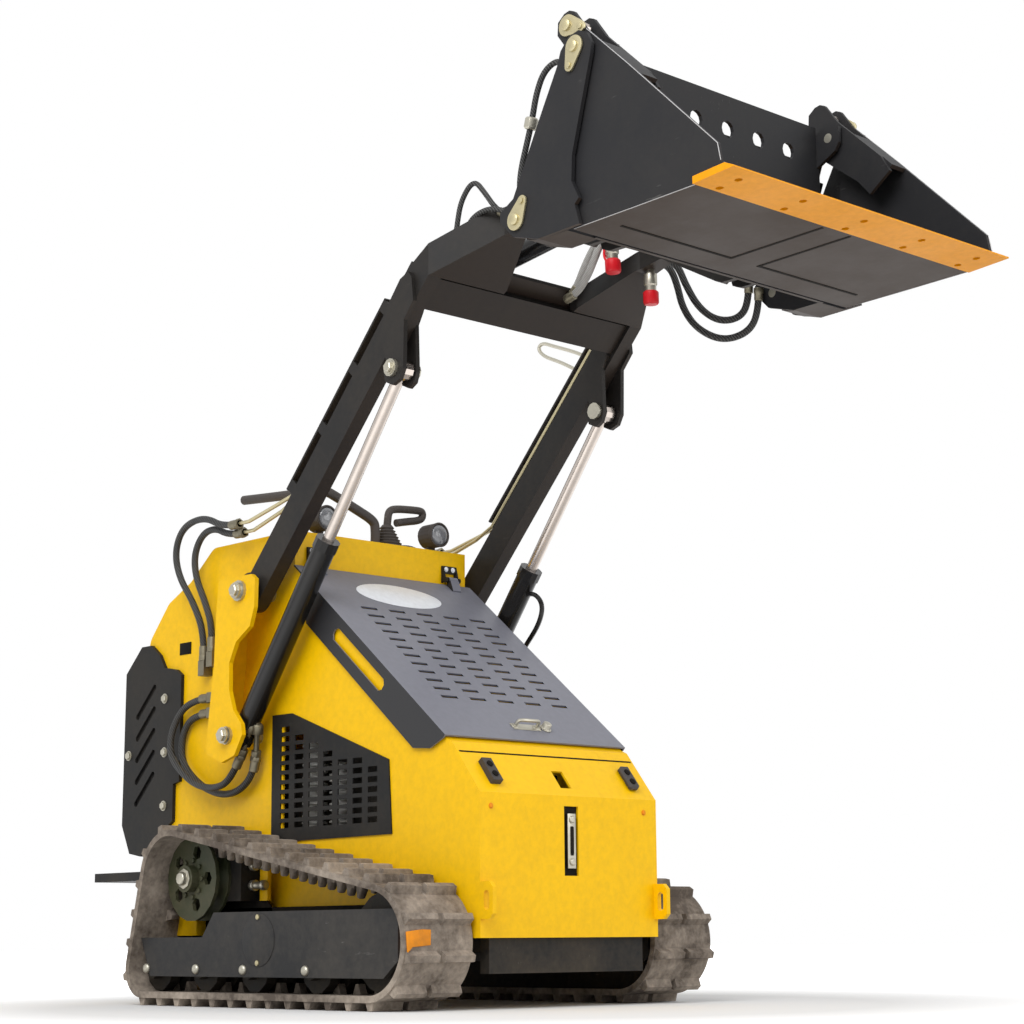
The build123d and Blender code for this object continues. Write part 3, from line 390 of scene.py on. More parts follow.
# a round form built up from one circle: each step is (radius, height) in metres
def turned(name, steps, sides=20, bevel=0.0):
    radius, height = steps[0]
    item = filledCircle(name, sides, radius)
    bpy.ops.object.mode_set(mode="EDIT")
    bpy.ops.mesh.select_all(action="SELECT")
    bpy.ops.transform.translate(value=(0, 0, height))
    for nextRadius, nextHeight in steps[1:]:
        bpy.ops.mesh.extrude_region_move(
            TRANSFORM_OT_translate={"value": (0, 0, nextHeight - height)})
        share = nextRadius / radius
        bpy.ops.transform.resize(value=(share, share, 1), center_override=(0, 0, nextHeight))
        radius, height = nextRadius, nextHeight
    return closedMesh(item, bevel)


# a flat plate: a filled circle pulled to the outline, then drawn up to its thickness
def cutPlate(name, outline, thickness, bevel=0.0008):
    item = filledCircle(name, len(outline), 0.1)
    for vertex, (x, y) in zip(item.data.vertices, outline):
        vertex.co = (x, y, 0)
    bpy.ops.object.mode_set(mode="EDIT")
    bpy.ops.mesh.select_all(action="SELECT")
    bpy.ops.mesh.extrude_region_move(TRANSFORM_OT_translate={"value": (0, 0, thickness)})
    return closedMesh(item, bevel)


def rectangle(halfWidth, halfHeight):
    return [(-halfWidth, -halfHeight), (halfWidth, -halfHeight), (halfWidth, halfHeight),
            (-halfWidth, halfHeight)]


# a round tube along one smooth curve, left as a curve
def smoothCurve(name, points, radius, rings, steps):
    curve = bpy.data.curves.new(name, "CURVE")
    curve.dimensions = "3D"
    spline = curve.splines.new("NURBS")
    spline.points.add(len(points) - 1)
    for point, place in zip(spline.points, points):
        point.co = (*place, 1)
    spline.order_u = 3
    spline.use_endpoint_u = True
    spline.resolution_u = steps
    curve.bevel_depth = radius
    curve.bevel_resolution = rings
    curve.use_fill_caps = True
    item = bpy.data.objects.new(name, curve)
    bpy.context.collection.objects.link(item)
    return item


# the same tube as a mesh, for stiff pipes and rails
def bentTube(name, points, radius, rings=2, steps=8):
    choose([smoothCurve(name, points, radius, rings, steps)])
    bpy.ops.object.convert(target="MESH")
    bpy.ops.object.mode_set(mode="EDIT")
    bpy.ops.mesh.select_all(action="SELECT")
    bpy.ops.mesh.remove_doubles(threshold=0.00002)
    return closedMesh(bpy.context.object)


# makes one object of the items, under the first one's mesh
def joined(name, items):
    choose(items)
    if len(items) > 1:
        bpy.ops.object.join()
    items[0].name = name
    items[0].data.name = name
    return items[0]


# turns and moves so that the model's own Z points along the direction
def aimed(place, direction, twist=0.0):
    turn = Vector(direction).to_track_quat("Z", "Y").to_matrix().to_4x4()
    return Matrix.Translation(place) @ turn @ Matrix.Rotation(math.radians(twist), 4, "Z")


# a flat model lies on a side face: its X is forward, its Y is up, its Z points outwards
def onSide(place, side, angle=0.0):
    outward = Vector((0, side, 0))
    forward = Vector((math.cos(math.radians(angle)), 0, math.sin(math.radians(angle))))
    upward = Vector((-forward.z, 0, forward.x))
    return Matrix.Translation(place) @ turnTo(forward, upward, outward)


# the same place on the right and on the left side face, in millimetres
def bothSides(x, y, z, angle=0.0):
    return [onSide(spot(x, side * y, z), side, angle) for side in (-1, 1)]


# the outermost y of a CAD node, in millimetres
def outerFace(node):
    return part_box(node)[1].y * 1000


# name, material, shading and body of a new piece
def finishPiece(item, name, finish, body="machine", smoothAngle=38):
    item.name = name
    item.data.name = name
    item.data.materials.clear()
    item.data.materials.append(finish)
    choose([item])
    bpy.ops.object.transform_apply(location=True, rotation=True, scale=True)
    bpy.ops.object.shade_smooth_by_angle(angle=math.radians(smoothAngle))
    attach(item, body)
    return item


def finishAll(items, name, finish, body):
    return finishPiece(joined(name, items), name, finish, body)


# one copy of the model, with its own mesh, at each place
def scatter(name, model, places, finish, body="machine", keepModel=False):
    copies = []
    for place in places:
        copy = model.copy()
        copy.data = model.data.copy()
        copy.data.transform(place)
        if place.determinant() < 0:
            copy.data.flip_normals()
        bpy.context.collection.objects.link(copy)
        copies.append(copy)
    finishAll(copies, name, finish, body)
    if not keepModel:
        bpy.data.objects.remove(model)


sides = (("Right", "right", -1), ("Left", "left", 1))


# one free hose; gives back where each end leaves its fitting and in which direction
def routeCord(name, places, body, finish, radius, rings, replaced=None):
    item = smoothCurve(name, places, radius, rings, 10)
    item.data.materials.append(finish)
    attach(item, body)
    if replaced:
        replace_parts(item, replaced)
    return [(places[0], places[1] - places[0]), (places[-1], places[-2] - places[-1])]


# four hoses on each side, from the body's ports to the arm lines and the cylinders
def makeHoses():
    hose = {"radius": 0.009, "ferrule": 0.0125, "ferruleLength": 0.040, "nut": 0.0145,
            "nutHeight": 0.013}
    routes = {
        "upper_rear": (0.670, (
            (-132, 309, 885), (-132, 309, 958), (-172, 318, 1045), (-226, 328, 1118),
            (-236, 337, 1190), (-188, 344, 1250), (-86, 347, 1262), (4, 348, 1221),
            (74, 348, 1221))),
        "upper_front": (0.540, (
            (-96, 309, 906), (-96, 309, 972), (-124, 314, 1042), (-160, 319, 1108),
            (-164, 324, 1172), (-122, 328, 1222), (-58, 331, 1230), (8, 332, 1200),
            (74, 332, 1200))),
        "lower_outer": (0.642, (
            (-104, 306, 785), (-196, 306, 785), (-249, 318, 732), (-249, 334, 658),
            (-196, 342, 605), (-112, 345, 556), (-22, 345, 540), (50, 345, 560),
            (92, 345, 622))),
        "lower_inner": (0.624, (
            (-104, 304, 745), (-183, 304, 745), (-230, 305, 698), (-230, 306, 632),
            (-183, 308, 585), (-98, 312, 541), (-6, 316, 524), (66, 318, 540),
            (108, 318, 578), (118, 318, 616))),
    }
    length, outside, nut = hose["ferruleLength"], hose["ferrule"], hose["nut"]
    collar = turned("collar", ((outside, 0.012), (outside, length - 0.006),
                               (outside * 0.97, length - 0.002), (hose["radius"], length)), 18)
    hexNut = turned("hexNut", ((nut, 0), (nut, hose["nutHeight"])), 6, 0.0008)
    ends = []
    for label, lower, side in sides:
        for route, (ownLength, points) in routes.items():
            places = [spot(x, side * y, z) for x, y, z in points]
            name = "hose" + route.title().replace("_", "") + label
            ends += routeCord(name, places, "machine", hoseRubber, hose["radius"], 4,
                              "hose_" + route + "_" + lower)
    scatter("hoseCollars", joined("collar", [collar, hexNut]), [aimed(*end) for end in ends],
            agedZinc)


# elbows at the foot of the lift barrels, and the oil pipe of the left one
def makeBarrelFittings():
    fitting = {"pipe": 0.0075, "nut": 0.014, "nutHeight": 0.016, "bend": 0.55,
               "oilPipe": 0.0065}
    routes = (((92, 345, 622), (140, 345, 702)), ((118, 318, 616), (150, 338, 700)))
    for label, lower, side in sides:
        items = []
        for route in routes:
            low, high = [spot(x, side * y, z) for x, y, z in route]
            middle = low + (high - low) * fitting["bend"]
            items.append(bentTube("elbow", (low, middle, high), fitting["pipe"]))
            nut = turned("nut", ((fitting["nut"], 0), (fitting["nut"], fitting["nutHeight"])),
                         6, 0.0008)
            nut.data.transform(aimed(low, high - low))
            base = turned("base", ((0.016, -0.03), (0.016, -0.01), (0.012, -0.004)), 14, 0.0008)
            base.data.transform(aimed(high, high - low))
            items += [nut, base]
        finishAll(items, "barrelElbows" + label, agedZinc, "lift_" + lower + "_barrel")
    pipe = [spot(x, 345, z) for x, z in ((423, 1062), (452, 1064), (486, 1028), (470, 978),
                                         (417, 925), (330, 840), (262, 790), (209, 775))]
    finishPiece(bentTube("oilPipe", pipe, fitting["oilPipe"]), "oilPipeLeft", barrelPaint,
                "lift_left_barrel")


def makeBolts():
    bolt = {"head": 0.0105, "height": 0.008, "washer": 0.0135, "washerHeight": 0.002}
    guards = ((-322, 801), (-319, 656), (-490, 657), (-318, 513))
    frames = ((-118, 90), (96, 89), (291, 88), (534, 87))
    pivots = ((140, 1032), (95, 667))
    edge = {"columns": 5, "pitch": 204, "rows": (1812, 1864), "x": 1796, "z": 1688,
            "slope": 0.08}
    head = turned("head", ((bolt["head"], bolt["washerHeight"]),
                           (bolt["head"], bolt["height"] * 0.8),
                           (bolt["head"] * 0.82, bolt["height"])), 6)
    washer = turned("washer", ((bolt["washer"], 0), (bolt["washer"], bolt["washerHeight"])), 18)
    model = joined("boltModel", [head, washer])
    dome = turned("dome", ((0.0125, 0), (0.0125, 0.002), (0.0108, 0.0055), (0.0065, 0.008)), 16)

    def onFace(node, places, angle=0.0):
        face = outerFace(node)
        return [side for x, z in places for side in bothSides(x, face, z, angle)]

    scatter("frameBolts", dome, onFace("roller_frames", frames), zincPlate)
    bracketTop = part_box("hood_hinges")[1].z * 1000 - 9
    hinges = [aimed(spot(241, y, bracketTop), (1, 0, 0)) for y in (-241, -217, 217, 241)]
    panel = [aimed(spot(935, y, 456), (1, 0, 0)) for y in (-256, 246)]
    lips = []
    for step in range(edge["columns"]):
        for x in edge["rows"]:
            y = (step - (edge["columns"] - 1) / 2) * edge["pitch"]
            z = edge["z"] + (x - edge["x"]) * edge["slope"]
            lips.append(aimed(spot(x, y, z), (-edge["slope"], 0, 1)))
    for name, places, scale, finish, body in (
            ("guardBolts", onFace("rear_guards", guards), 1, zincPlate, "machine"),
            ("pivotBolts", onFace("base_pins", pivots, 20), 1.55, zincPlate, "machine"),
            ("rodPinBolts", onFace("arm_pins", ((724, 1507),), 10), 1.3, zincPlate, "arms"),
            ("hingeBolts", hinges, 0.5, enamelWhite, "machine"),
            ("panelBolts", panel, 0.5, orangePaint, "machine"),
            ("edgeBolts", lips, 0.9, zincPlate, "clam")):
        scatter(name, model, [place @ Matrix.Scale(scale, 4) for place in places], finish,
                body, True)
    bpy.data.objects.remove(model)


# outline of a keeper plate: a large round end, straight sides and a small round end
def teardrop(head, tail, reach):
    points = []
    headSteps, tailSteps = 12, 7
    lean = math.degrees(math.asin((head - tail) / reach))
    for step in range(headSteps + 1):
        angle = math.radians(90 - lean + (180 + 2 * lean) * step / headSteps)
        points.append((head * math.cos(angle), head * math.sin(angle)))
    for step in range(tailSteps + 1):
        angle = math.radians(-90 + lean + (180 - 2 * lean) * step / tailSteps)
        points.append((reach + tail * math.cos(angle), tail * math.sin(angle)))
    return points


# plates that keep the bucket's pins from turning
def makeKeepers():
    keeper = {"head": 0.025, "tail": 0.013, "reach": 0.044, "sheet": 0.006, "sunk": 9,
              "knob": 0.0135, "screw": 0.0075}
    plate = cutPlate("plate", teardrop(keeper["head"], keeper["tail"], keeper["reach"]),
                     keeper["sheet"], 0.001)
    knob = turned("knob", ((keeper["knob"], keeper["sheet"]), (0.013, 0.011), (0.009, 0.0135)),
                  18)
    screw = turned("screw", ((keeper["screw"], keeper["sheet"]), (keeper["screw"], 0.0105)), 6,
                   0.0006)
    screw.data.transform(Matrix.Translation((keeper["reach"], 0, 0)))
    model = joined("keeperModel", [plate, knob, screw])
    face = outerFace("bucket_pins") - keeper["sunk"]
    backs = bothSides(1470, face, 2067, -110) + bothSides(1279, face, 1719, 60)
    scatter("pinKeepers", model, backs, yellowZinc, "bucket", True)
    clams = bothSides(1433, outerFace("clam"), 2131, -20)
    scatter("clamKeepers", model, clams, yellowZinc, "clam")


# blank oval plate and the latch with its bail, on the hood's sloping sheet
def makeHoodDetails():
    hood = {"low": (825, 624), "along": (-0.7758, 0.6310), "out": (0.6310, 0.7758)}
    oval = {"halfWidth": 0.140, "halfHeight": 0.054, "steps": 48, "reach": 648, "y": -16}
    latch = {"reach": 58, "foot": 36, "lock": 66, "wire": 0.0045}

    def onHood(reach, y, lift):
        x = hood["low"][0] + reach * hood["along"][0] + lift * hood["out"][0]
        z = hood["low"][1] + reach * hood["along"][1] + lift * hood["out"][1]
        return spot(x, y, z)

    outward = Vector((hood["out"][0], 0, hood["out"][1]))
    across = Vector((0, 1, 0))
    turn = turnTo(across, outward.cross(across), outward)
    angles = [math.tau * step / oval["steps"] for step in range(oval["steps"])]
    plate = cutPlate("oval", [(math.cos(angle) * oval["halfWidth"],
                               math.sin(angle) * oval["halfHeight"]) for angle in angles],
                     0.0012, 0.0004)
    place = Matrix.Translation(onHood(oval["reach"], oval["y"], 0)) @ turn
    scatter("blankOval", plate, [place], enamelWhite, "hood")
    reach, side = latch["reach"], latch["foot"]
    pieces = []
    for y in (-side, side):
        foot = turned("foot", ((0.011, 0), (0.011, 0.003), (0.006, 0.005)), 16, 0.0006)
        foot.data.transform(aimed(onHood(reach, y, 0), outward))
        pieces.append(foot)
    bail = bentTube("bail", [onHood(reach, -side, 0), onHood(reach, -side, 18),
                             onHood(52, -24, 24), onHood(50, 0, 25), onHood(52, 24, 24),
                             onHood(reach, side, 18), onHood(reach, side, 0)], latch["wire"])
    lock = turned("lock", ((0.0155, 0), (0.0155, 0.003), (0.012, 0.004), (0.011, 0.016),
                           (0.007, 0.018)), 20, 0.0006)
    lock.data.transform(aimed(onHood(reach, latch["lock"], 0), outward))
    base = cutPlate("base", rectangle(0.045, 0.012), 0.0016)
    base.data.transform(Matrix.Translation(onHood(reach, 0, 0)) @ turn)
    handle = finishAll(pieces + [bail, lock, base], "hoodHandle", zincPlate, "hood")
    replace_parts(handle, "hood_latch")


# level gauge, the seam and buffer screws of the sloping panel, and a patch on each flank
def makePanelDetails():
    gauge = {"middle": 0.382, "glassFoot": 0.348, "screws": (0.333, 0.432),
             "outline": rectangle(0.013, 0.064)}
    panel = {"foot": (935, 487), "corner": (839, 608), "seamDrop": 0.030, "bufferY": 227,
             "bufferReach": (0.045, 0.075), "bufferHeight": 0.0145}
    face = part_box("level_gauge")[1].x
    holder = cutPlate("holder", gauge["outline"], 0.0022, 0.0008)
    place = (Matrix.Translation((face - 0.0002, 0, gauge["middle"]))
             @ turnTo((0, 1, 0), (0, 0, 1), (1, 0, 0)))
    scatter("gaugeHolder", holder, [place], zincPlate)
    glass = turned("glass", ((0.0045, 0), (0.0055, 0.004), (0.0055, 0.064), (0.0045, 0.068)), 16)
    place = Matrix.Translation((face + 0.001, 0, gauge["glassFoot"]))
    scatter("gaugeGlass", glass, [place], darkTrimAndPaintedShade)
    screw = turned("screw", ((0.0085, 0), (0.0085, 0.005), (0.006, 0.007)), 12, 0.0006)
    scatter("gaugeScrews", screw, [aimed((face, 0, z), (1, 0, 0)) for z in gauge["screws"]],
            zincPlate)
    lean = Vector((0.7832, 0, 0.6217))
    up = Vector((-0.6217, 0, 0.7832))
    across = Vector((0, 1, 0))
    seam = cutPlate("seam", rectangle(0.284, 0.0022), 0.0008, 0.0002)
    turn = turnTo(across, lean.cross(across), lean)
    x, z = panel["corner"]
    place = Matrix.Translation(spot(x, 0, z) - up * panel["seamDrop"]) @ turn
    scatter("slopeSeam", seam, [place], darkTrimAndPaintedShade, "machine")
    x, z = panel["foot"]
    places = [aimed(spot(x, y, z) + up * reach + lean * panel["bufferHeight"], lean)
              for y in (-panel["bufferY"], panel["bufferY"]) for reach in panel["bufferReach"]]
    head = turned("head", ((0.0085, 0), (0.0085, 0.003), (0.005, 0.0045)), 14)
    scatter("bufferBolts", head, places, darkTrimAndPaintedShade, "machine")
    patch = cutPlate("patch", rectangle(0.026, 0.016), 0.002, 0.0006)
    scatter("sidePatches", patch, bothSides(-243, 290, 930), darkTrimAndPaintedShade, "machine")


# lamps, the drive lever in its boot and the hand rail
def makeControls():
    lamp = {"x": 240, "y": 192, "z": 1231, "radius": 0.033}
    boot = {"x": 185, "y": 55, "foot": (0.044, 1.1882), "rings": 6, "radius": 0.041,
            "shrink": 0.0042, "height": 1.194, "pitch": 0.0085, "groove": 0.004,
            "top": (0.012, 1.250)}
    places = [aimed(spot(lamp["x"], y, lamp["z"]), (1, 0, 0)) for y in (-lamp["y"], lamp["y"])]
    rim = turned("rim", ((lamp["radius"], -0.006), (lamp["radius"] + 0.001, 0.004),
                         (lamp["radius"] - 0.003, 0.006), (lamp["radius"] - 0.005, 0.001)),
                 32, 0.0006)
    lens = turned("lens", ((0.028, 0.0008), (0.027, 0.004), (0.022, 0.0075), (0.014, 0.0095),
                           (0.006, 0.0102)), 32)
    scatter("lampRims", rim, places, gripRubber, "machine")
    scatter("lampLenses", lens, places, lampGlass)
    steps = [boot["foot"], (boot["foot"][0], 1.192)]
    for ring in range(boot["rings"]):
        radius = boot["radius"] - ring * boot["shrink"]
        height = boot["height"] + ring * boot["pitch"]
        steps += [(radius - boot["groove"], height), (radius, height + 0.004)]
    bellows = turned("boot", steps + [boot["top"]], 28, 0.0008)
    bellows.data.transform(Matrix.Translation(spot(boot["x"], boot["y"], 0)))
    finishPiece(bellows, "leverBoot", gripRubber, "machine", 50)
    rail = ((-160, -165, 1340), (-60, -165, 1332), (140, -165, 1318), (196, -165, 1313),
            (204, -150, 1306), (204, -60, 1272), (203, -10, 1253), (203, 2, 1236),
            (203, 0, 1188))
    lever = ((185, 55, 1240), (188, 55, 1262), (190, 57, 1286), (190, 76, 1296),
             (190, 150, 1301), (189, 176, 1301), (187, 180, 1286), (186, 168, 1275),
             (188, 120, 1266), (188, 84, 1258))
    for name, node, radius, points in (("handRail", "hand_rail", 0.013, rail),
                                       ("driveLever", "lever", 0.0105, lever)):
        tube = bentTube(name, [spot(*point) for point in points], radius, 4)
        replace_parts(finishPiece(tube, name, gripRubber, "machine", 60), node)


# small parts on and between the roller frames, at the sprockets and the idlers
def makeTrackDetails():
    frameFace, sprocketFace = outerFace("roller_frames"), outerFace("sprockets")
    cover = {"x": 351, "z": 158, "screws": (104, 212), "sheet": 1.6}
    drive = {"x": -5, "z": 311, "bolts": 9, "ring": 46, "face": 422}
    cap = turned("cover", ((0.063, 0), (0.063, 0.0014), (0.060, 0.0022)), 40, 0.0004)
    screw = turned("screw", ((0.0065, 0), (0.0065, 0.004), (0.004, 0.0055)), 12)
    hub = turned("hub", ((0.026, 0), (0.026, 0.003), (0.017, 0.003), (0.017, 0.013),
                         (0.014, 0.016)), 8, 0.0008)
    ringBolt = turned("ringBolt", ((0.0065, 0), (0.0065, 0.006)), 6, 0.0005)
    stub = turned("stub", ((0.010, 0), (0.010, 0.02), (0.014, 0.02), (0.014, 0.034),
                           (0.009, 0.034), (0.009, 0.062), (0.013, 0.062), (0.013, 0.072),
                           (0.010, 0.074)), 12, 0.0005)
    post = cutPlate("post", rectangle(0.016, 0.058), 0.012, 0.001)
    yoke = cutPlate("yoke", ((0, 0), (0.024, -0.004), (0.027, 0.050), (0, 0.054)), 0.026, 0.002)
    block = cutPlate("block", rectangle(0.044, 0.026), 0.030, 0.002)
    x, z = cover["x"], cover["z"]
    screws = [place for height in cover["screws"]
              for place in bothSides(x, frameFace + cover["sheet"], height)]
    ring = []
    for step in range(drive["bolts"]):
        angle = math.tau * step / drive["bolts"]
        ring += bothSides(drive["x"] + drive["ring"] * math.cos(angle), drive["face"],
                          drive["z"] + drive["ring"] * math.sin(angle))
    stubs = [aimed(spot(127, y, height), (1, 0, 0)) for y in (-345, 345) for height in (342, 292)]
    hubs = bothSides(drive["x"], sprocketFace, drive["z"])
    for name, model, places, finish, slotName in (
            ("frameCovers", cap, bothSides(x, frameFace, z), framePaint, "black"),
            ("coverScrews", screw, screws, yellowZinc, "steel"),
            ("hubNuts", hub, hubs, zincPlate, "steel"),
            ("sprocketBolts", ringBolt, ring, castIron, "cast"),
            ("motorFittings", stub, stubs, zincPlate, "steel"),
            ("motorPosts", post, bothSides(176, 320, 312), yellowPaint, "yellow"),
            ("idlerYokes", yoke, bothSides(868, 440, 128), orangePaint, "orange"),
            ("driveBlocks", block, bothSides(-107, 335, 196), yellowPaint, "yellow")):
        scatter(name, model, places, finish, "machine")


# the orange mark between two tread bars at the front of the right track
def makeTrackMark():
    mark = {"middle": (785, 150), "radius": 131.5, "lean": 3, "y": -458, "sheet": 0.0032,
            "outline": ((-0.034, -0.030), (-0.018, -0.017), (0.034, -0.013), (0.036, 0.021),
                        (0.010, 0.022), (-0.036, 0.017))}
    lean = math.radians(mark["lean"])
    out = Vector((math.cos(lean), 0, math.sin(lean)))
    rise = Vector((-math.sin(lean), 0, math.cos(lean)))
    turn = turnTo(rise.cross(out), rise, out)
    x, z = mark["middle"]
    place = spot(x + mark["radius"] * out.x, mark["y"], z + mark["radius"] * out.z)
    patch = cutPlate("mark", mark["outline"], mark["sheet"], 0.001)
    scatter("trackMark", patch, [Matrix.Translation(place) @ turn], orangePaint, "machine")


# drive teeth inside the upper run, and dark sheets behind the rollers that paint the shade in the
# gaps under the belly
def makeTrackInside():
    tooth = {"size": (0.030, 0.024, 0.036), "pitch": 37.5, "count": 17,
             "start": (60, 406.5), "y": 397, "along": (0.9806, -0.1962),
             "inward": (-0.1864, -0.9827)}
    freeSelection()
    bpy.ops.mesh.primitive_cube_add(size=1)
    model = bpy.context.object
    bpy.ops.object.mode_set(mode="EDIT")
    bpy.ops.transform.translate(value=(0, 0, 0.5))
    bpy.ops.transform.resize(value=tooth["size"], center_override=(0, 0, 0))
    selectFaces(lambda middle, normal: normal.z > 0.9)
    bpy.ops.transform.resize(value=(0.35, 0.8, 1))
    bpy.ops.mesh.extrude_region_move(TRANSFORM_OT_translate={"value": (0, 0, 0.003)})
    bpy.ops.transform.resize(value=(0.6, 0.8, 1))
    bpy.ops.object.mode_set(mode="OBJECT")
    softenEdges(model, 0.002, 1)
    x, z = tooth["start"]
    forward = Vector((tooth["along"][0], 0, tooth["along"][1]))
    down = Vector((tooth["inward"][0], 0, tooth["inward"][1])).normalized()
    turn = turnTo(forward, down.cross(forward), down)
    reaches = [step * tooth["pitch"] for step in range(tooth["count"])]
    places = [Matrix.Translation(spot(x + reach * tooth["along"][0], y,
                                      z + reach * tooth["along"][1])) @ turn
              for y in (-tooth["y"], tooth["y"]) for reach in reaches]
    scatter("driveTeeth", model, places, trackRubber, "machine")
    # dark sheets that paint the shade in the gaps under the belly and behind the rollers
    shadeSheet = {"sheet": 0.004, "y": 318}
    outlines = (((-0.105, 0.031), (0.820, 0.031), (0.858, 0.080), (0.858, 0.100),
                 (-0.120, 0.100)),
                ((-0.150, 0.100), (0.200, 0.100), (0.200, 0.234), (0.130, 0.300),
                 (-0.060, 0.330), (-0.130, 0.300)),
                ((-0.150, 0.205), (0.740, 0.205), (0.740, 0.238), (-0.150, 0.238)))
    model = joined("shadeSheetModel", [cutPlate("shadeSheet", outline, shadeSheet["sheet"])
                                  for outline in outlines])
    scatter("paintedShadeSheets", model, bothSides(0, shadeSheet["y"], 0), darkTrimAndPaintedShade, "machine")


# quick couplers with red caps under the arms' front frame
def makeCouplers():
    places = [aimed(spot(996, 104, 1868), (0.06, 0, -1)),
              aimed(spot(1011, 226, 1808), (0, 0.02, -1))]
    body = turned("couplerBody", ((0.012, 0), (0.012, 0.012), (0.017, 0.012), (0.017, 0.040),
                                  (0.014, 0.043), (0.014, 0.060)), 16, 0.0006)
    cap = turned("couplerCap", ((0.017, 0.056), (0.020, 0.060), (0.020, 0.086),
                                (0.017, 0.091)), 20, 0.0012)
    scatter("couplerBodies", body, places, zincPlate, "arms")
    scatter("couplerCaps", cap, places, capRed, "arms")
    strap = bentTube("strap", [spot(*place) for place in (
        (1001, 118, 1806), (972, 122, 1815), (958, 112, 1850), (972, 102, 1878),
        (985, 90, 1850), (984, 88, 1812), (1000, 90, 1800))], 0.003)
    finishPiece(strap, "capStrap", capRed, "arms")
    bracket = cutPlate("bracket", ((-0.016, 0), (0.016, 0), (0.016, 0.150), (-0.016, 0.150)),
                       0.008)
    scatter("couplerBracket", bracket, [Matrix.Translation(spot(996, 84, 1868))], armPaint,
            "arms")


# free hoses on the arms and on the bucket: body, radius, length, finish and route
def makeArmHoses():
    runs = {
        "couplerHoseRear": ("arms", 0.0095, 0.202, braidSteel, (
            (852, 104, 1752), (874, 104, 1772), (897, 104, 1812), (931, 104, 1856),
            (962, 104, 1880), (996, 104, 1876))),
        "couplerHoseFront": ("arms", 0.0095, 0.206, braidSteel, (
            (858, 84, 1738), (892, 84, 1744), (930, 84, 1780), (960, 84, 1826),
            (978, 88, 1864), (1000, 92, 1876))),
        "bucketHoseOuter": ("arms", 0.009, 0.577, hoseRubber, (
            (982, 262, 1838), (974, 300, 1850), (966, 350, 1848), (962, 378, 1810),
            (977, 380, 1745), (1024, 380, 1680), (1110, 380, 1630), (1200, 376, 1632),
            (1244, 366, 1672), (1250, 362, 1730))),
        "bucketHoseInner": ("arms", 0.009, 0.460, hoseRubber, (
            (1012, 256, 1838), (1006, 292, 1850), (1000, 342, 1844), (1000, 368, 1800),
            (1040, 372, 1730), (1103, 372, 1682), (1174, 370, 1672), (1214, 364, 1700),
            (1220, 360, 1755))),
        "armHoseRear": ("arms", 0.0065, 0.292, hoseRubber, (
            (866, -300, 1802), (874, -300, 1850), (888, -299, 1905), (928, -294, 1948),
            (962, -288, 1905), (988, -278, 1862), (1010, -258, 1842))),
        "armHoseFront": ("arms", 0.0065, 0.196, hoseRubber, (
            (892, -292, 1815), (908, -294, 1842), (944, -294, 1860), (988, -290, 1862),
            (1026, -278, 1846), (1050, -252, 1826))),
        "cylinderHose": ("bucket", 0.007, 0.501, hoseRubber, (
            (1290, -430, 1762), (1250, -430, 1776), (1232, -430, 1810), (1238, -430, 1858),
            (1256, -430, 1908), (1276, -430, 1965), (1291, -430, 2026), (1318, -430, 2072),
            (1366, -430, 2084), (1394, -430, 2044), (1376, -430, 1985))),
    }
    ends = {"arms": [], "bucket": []}
    for name, (body, radius, length, finish, points) in runs.items():
        ends[body] += routeCord(name, [spot(*point) for point in points], body, finish, radius,
                                3)
    collar = turned("collar", ((0.0125, -0.004), (0.0125, 0.010), (0.011, 0.010),
                               (0.011, 0.026), (0.0095, 0.028)), 14, 0.0005)
    for body, fittings in ends.items():
        scatter(body + "HoseCollars", collar, [aimed(*fitting) for fitting in fittings],
                agedZinc, body, True)
    bpy.data.objects.remove(collar)
    nut = turned("nut", ((0.0125, -0.014), (0.016, -0.010), (0.016, 0.010), (0.0125, 0.014)), 6,
                 0.0008)
    place = aimed(spot(1273, -430, 1958), (0.3, 0, 1))
    scatter("cylinderHoseNut", nut, [place], zincPlate, "bucket")


# hard line at the left knee, and the weld seams under the bucket's floor
def makeArmDetails():
    line = {"radius": 0.005, "points": (
        (690, 1681), (650, 1676), (618, 1693), (534, 1726), (492, 1744), (474, 1730),
        (498, 1704), (560, 1677), (617, 1646), (676, 1612))}
    tube = bentTube("line", [spot(x, 345, z) for x, z in line["points"]], line["radius"])
    finishPiece(tube, "kneeLineLeft", zincPlate, "arms")
    seam = {"runs": (((1520, 45), (1524, 400)), ((1524, 45), (1786, 49))), "half": 2,
            "sheet": 0.0012, "sunk": 0.0008, "hinge": (1440, 1662), "lean": math.atan2(10, 356)}
    x, z = seam["hinge"]
    place = (Matrix.Translation(spot(x, 0, z) - Vector((0, 0, seam["sunk"])))
             @ Matrix.Rotation(-seam["lean"], 4, "Y") @ Matrix.Translation((-x / 1000, 0, 0)))
    seams = []
    for side in (-1, 1):
        for (lowX, lowY), (highX, highY) in seam["runs"]:
            left, right = (lowX - seam["half"]) / 1000, (highX + seam["half"]) / 1000
            low = side * (lowY - seam["half"]) / 1000
            high = side * (highY + seam["half"]) / 1000
            corners = [(left, low), (right, low), (right, high), (left, high)]
            if side > 0:
                corners.reverse()
            seams.append(cutPlate("seam", corners, seam["sheet"], 0))
            seams[-1].data.transform(place)
    finishAll(seams, "floorSeams", darkTrimAndPaintedShade, "clam")


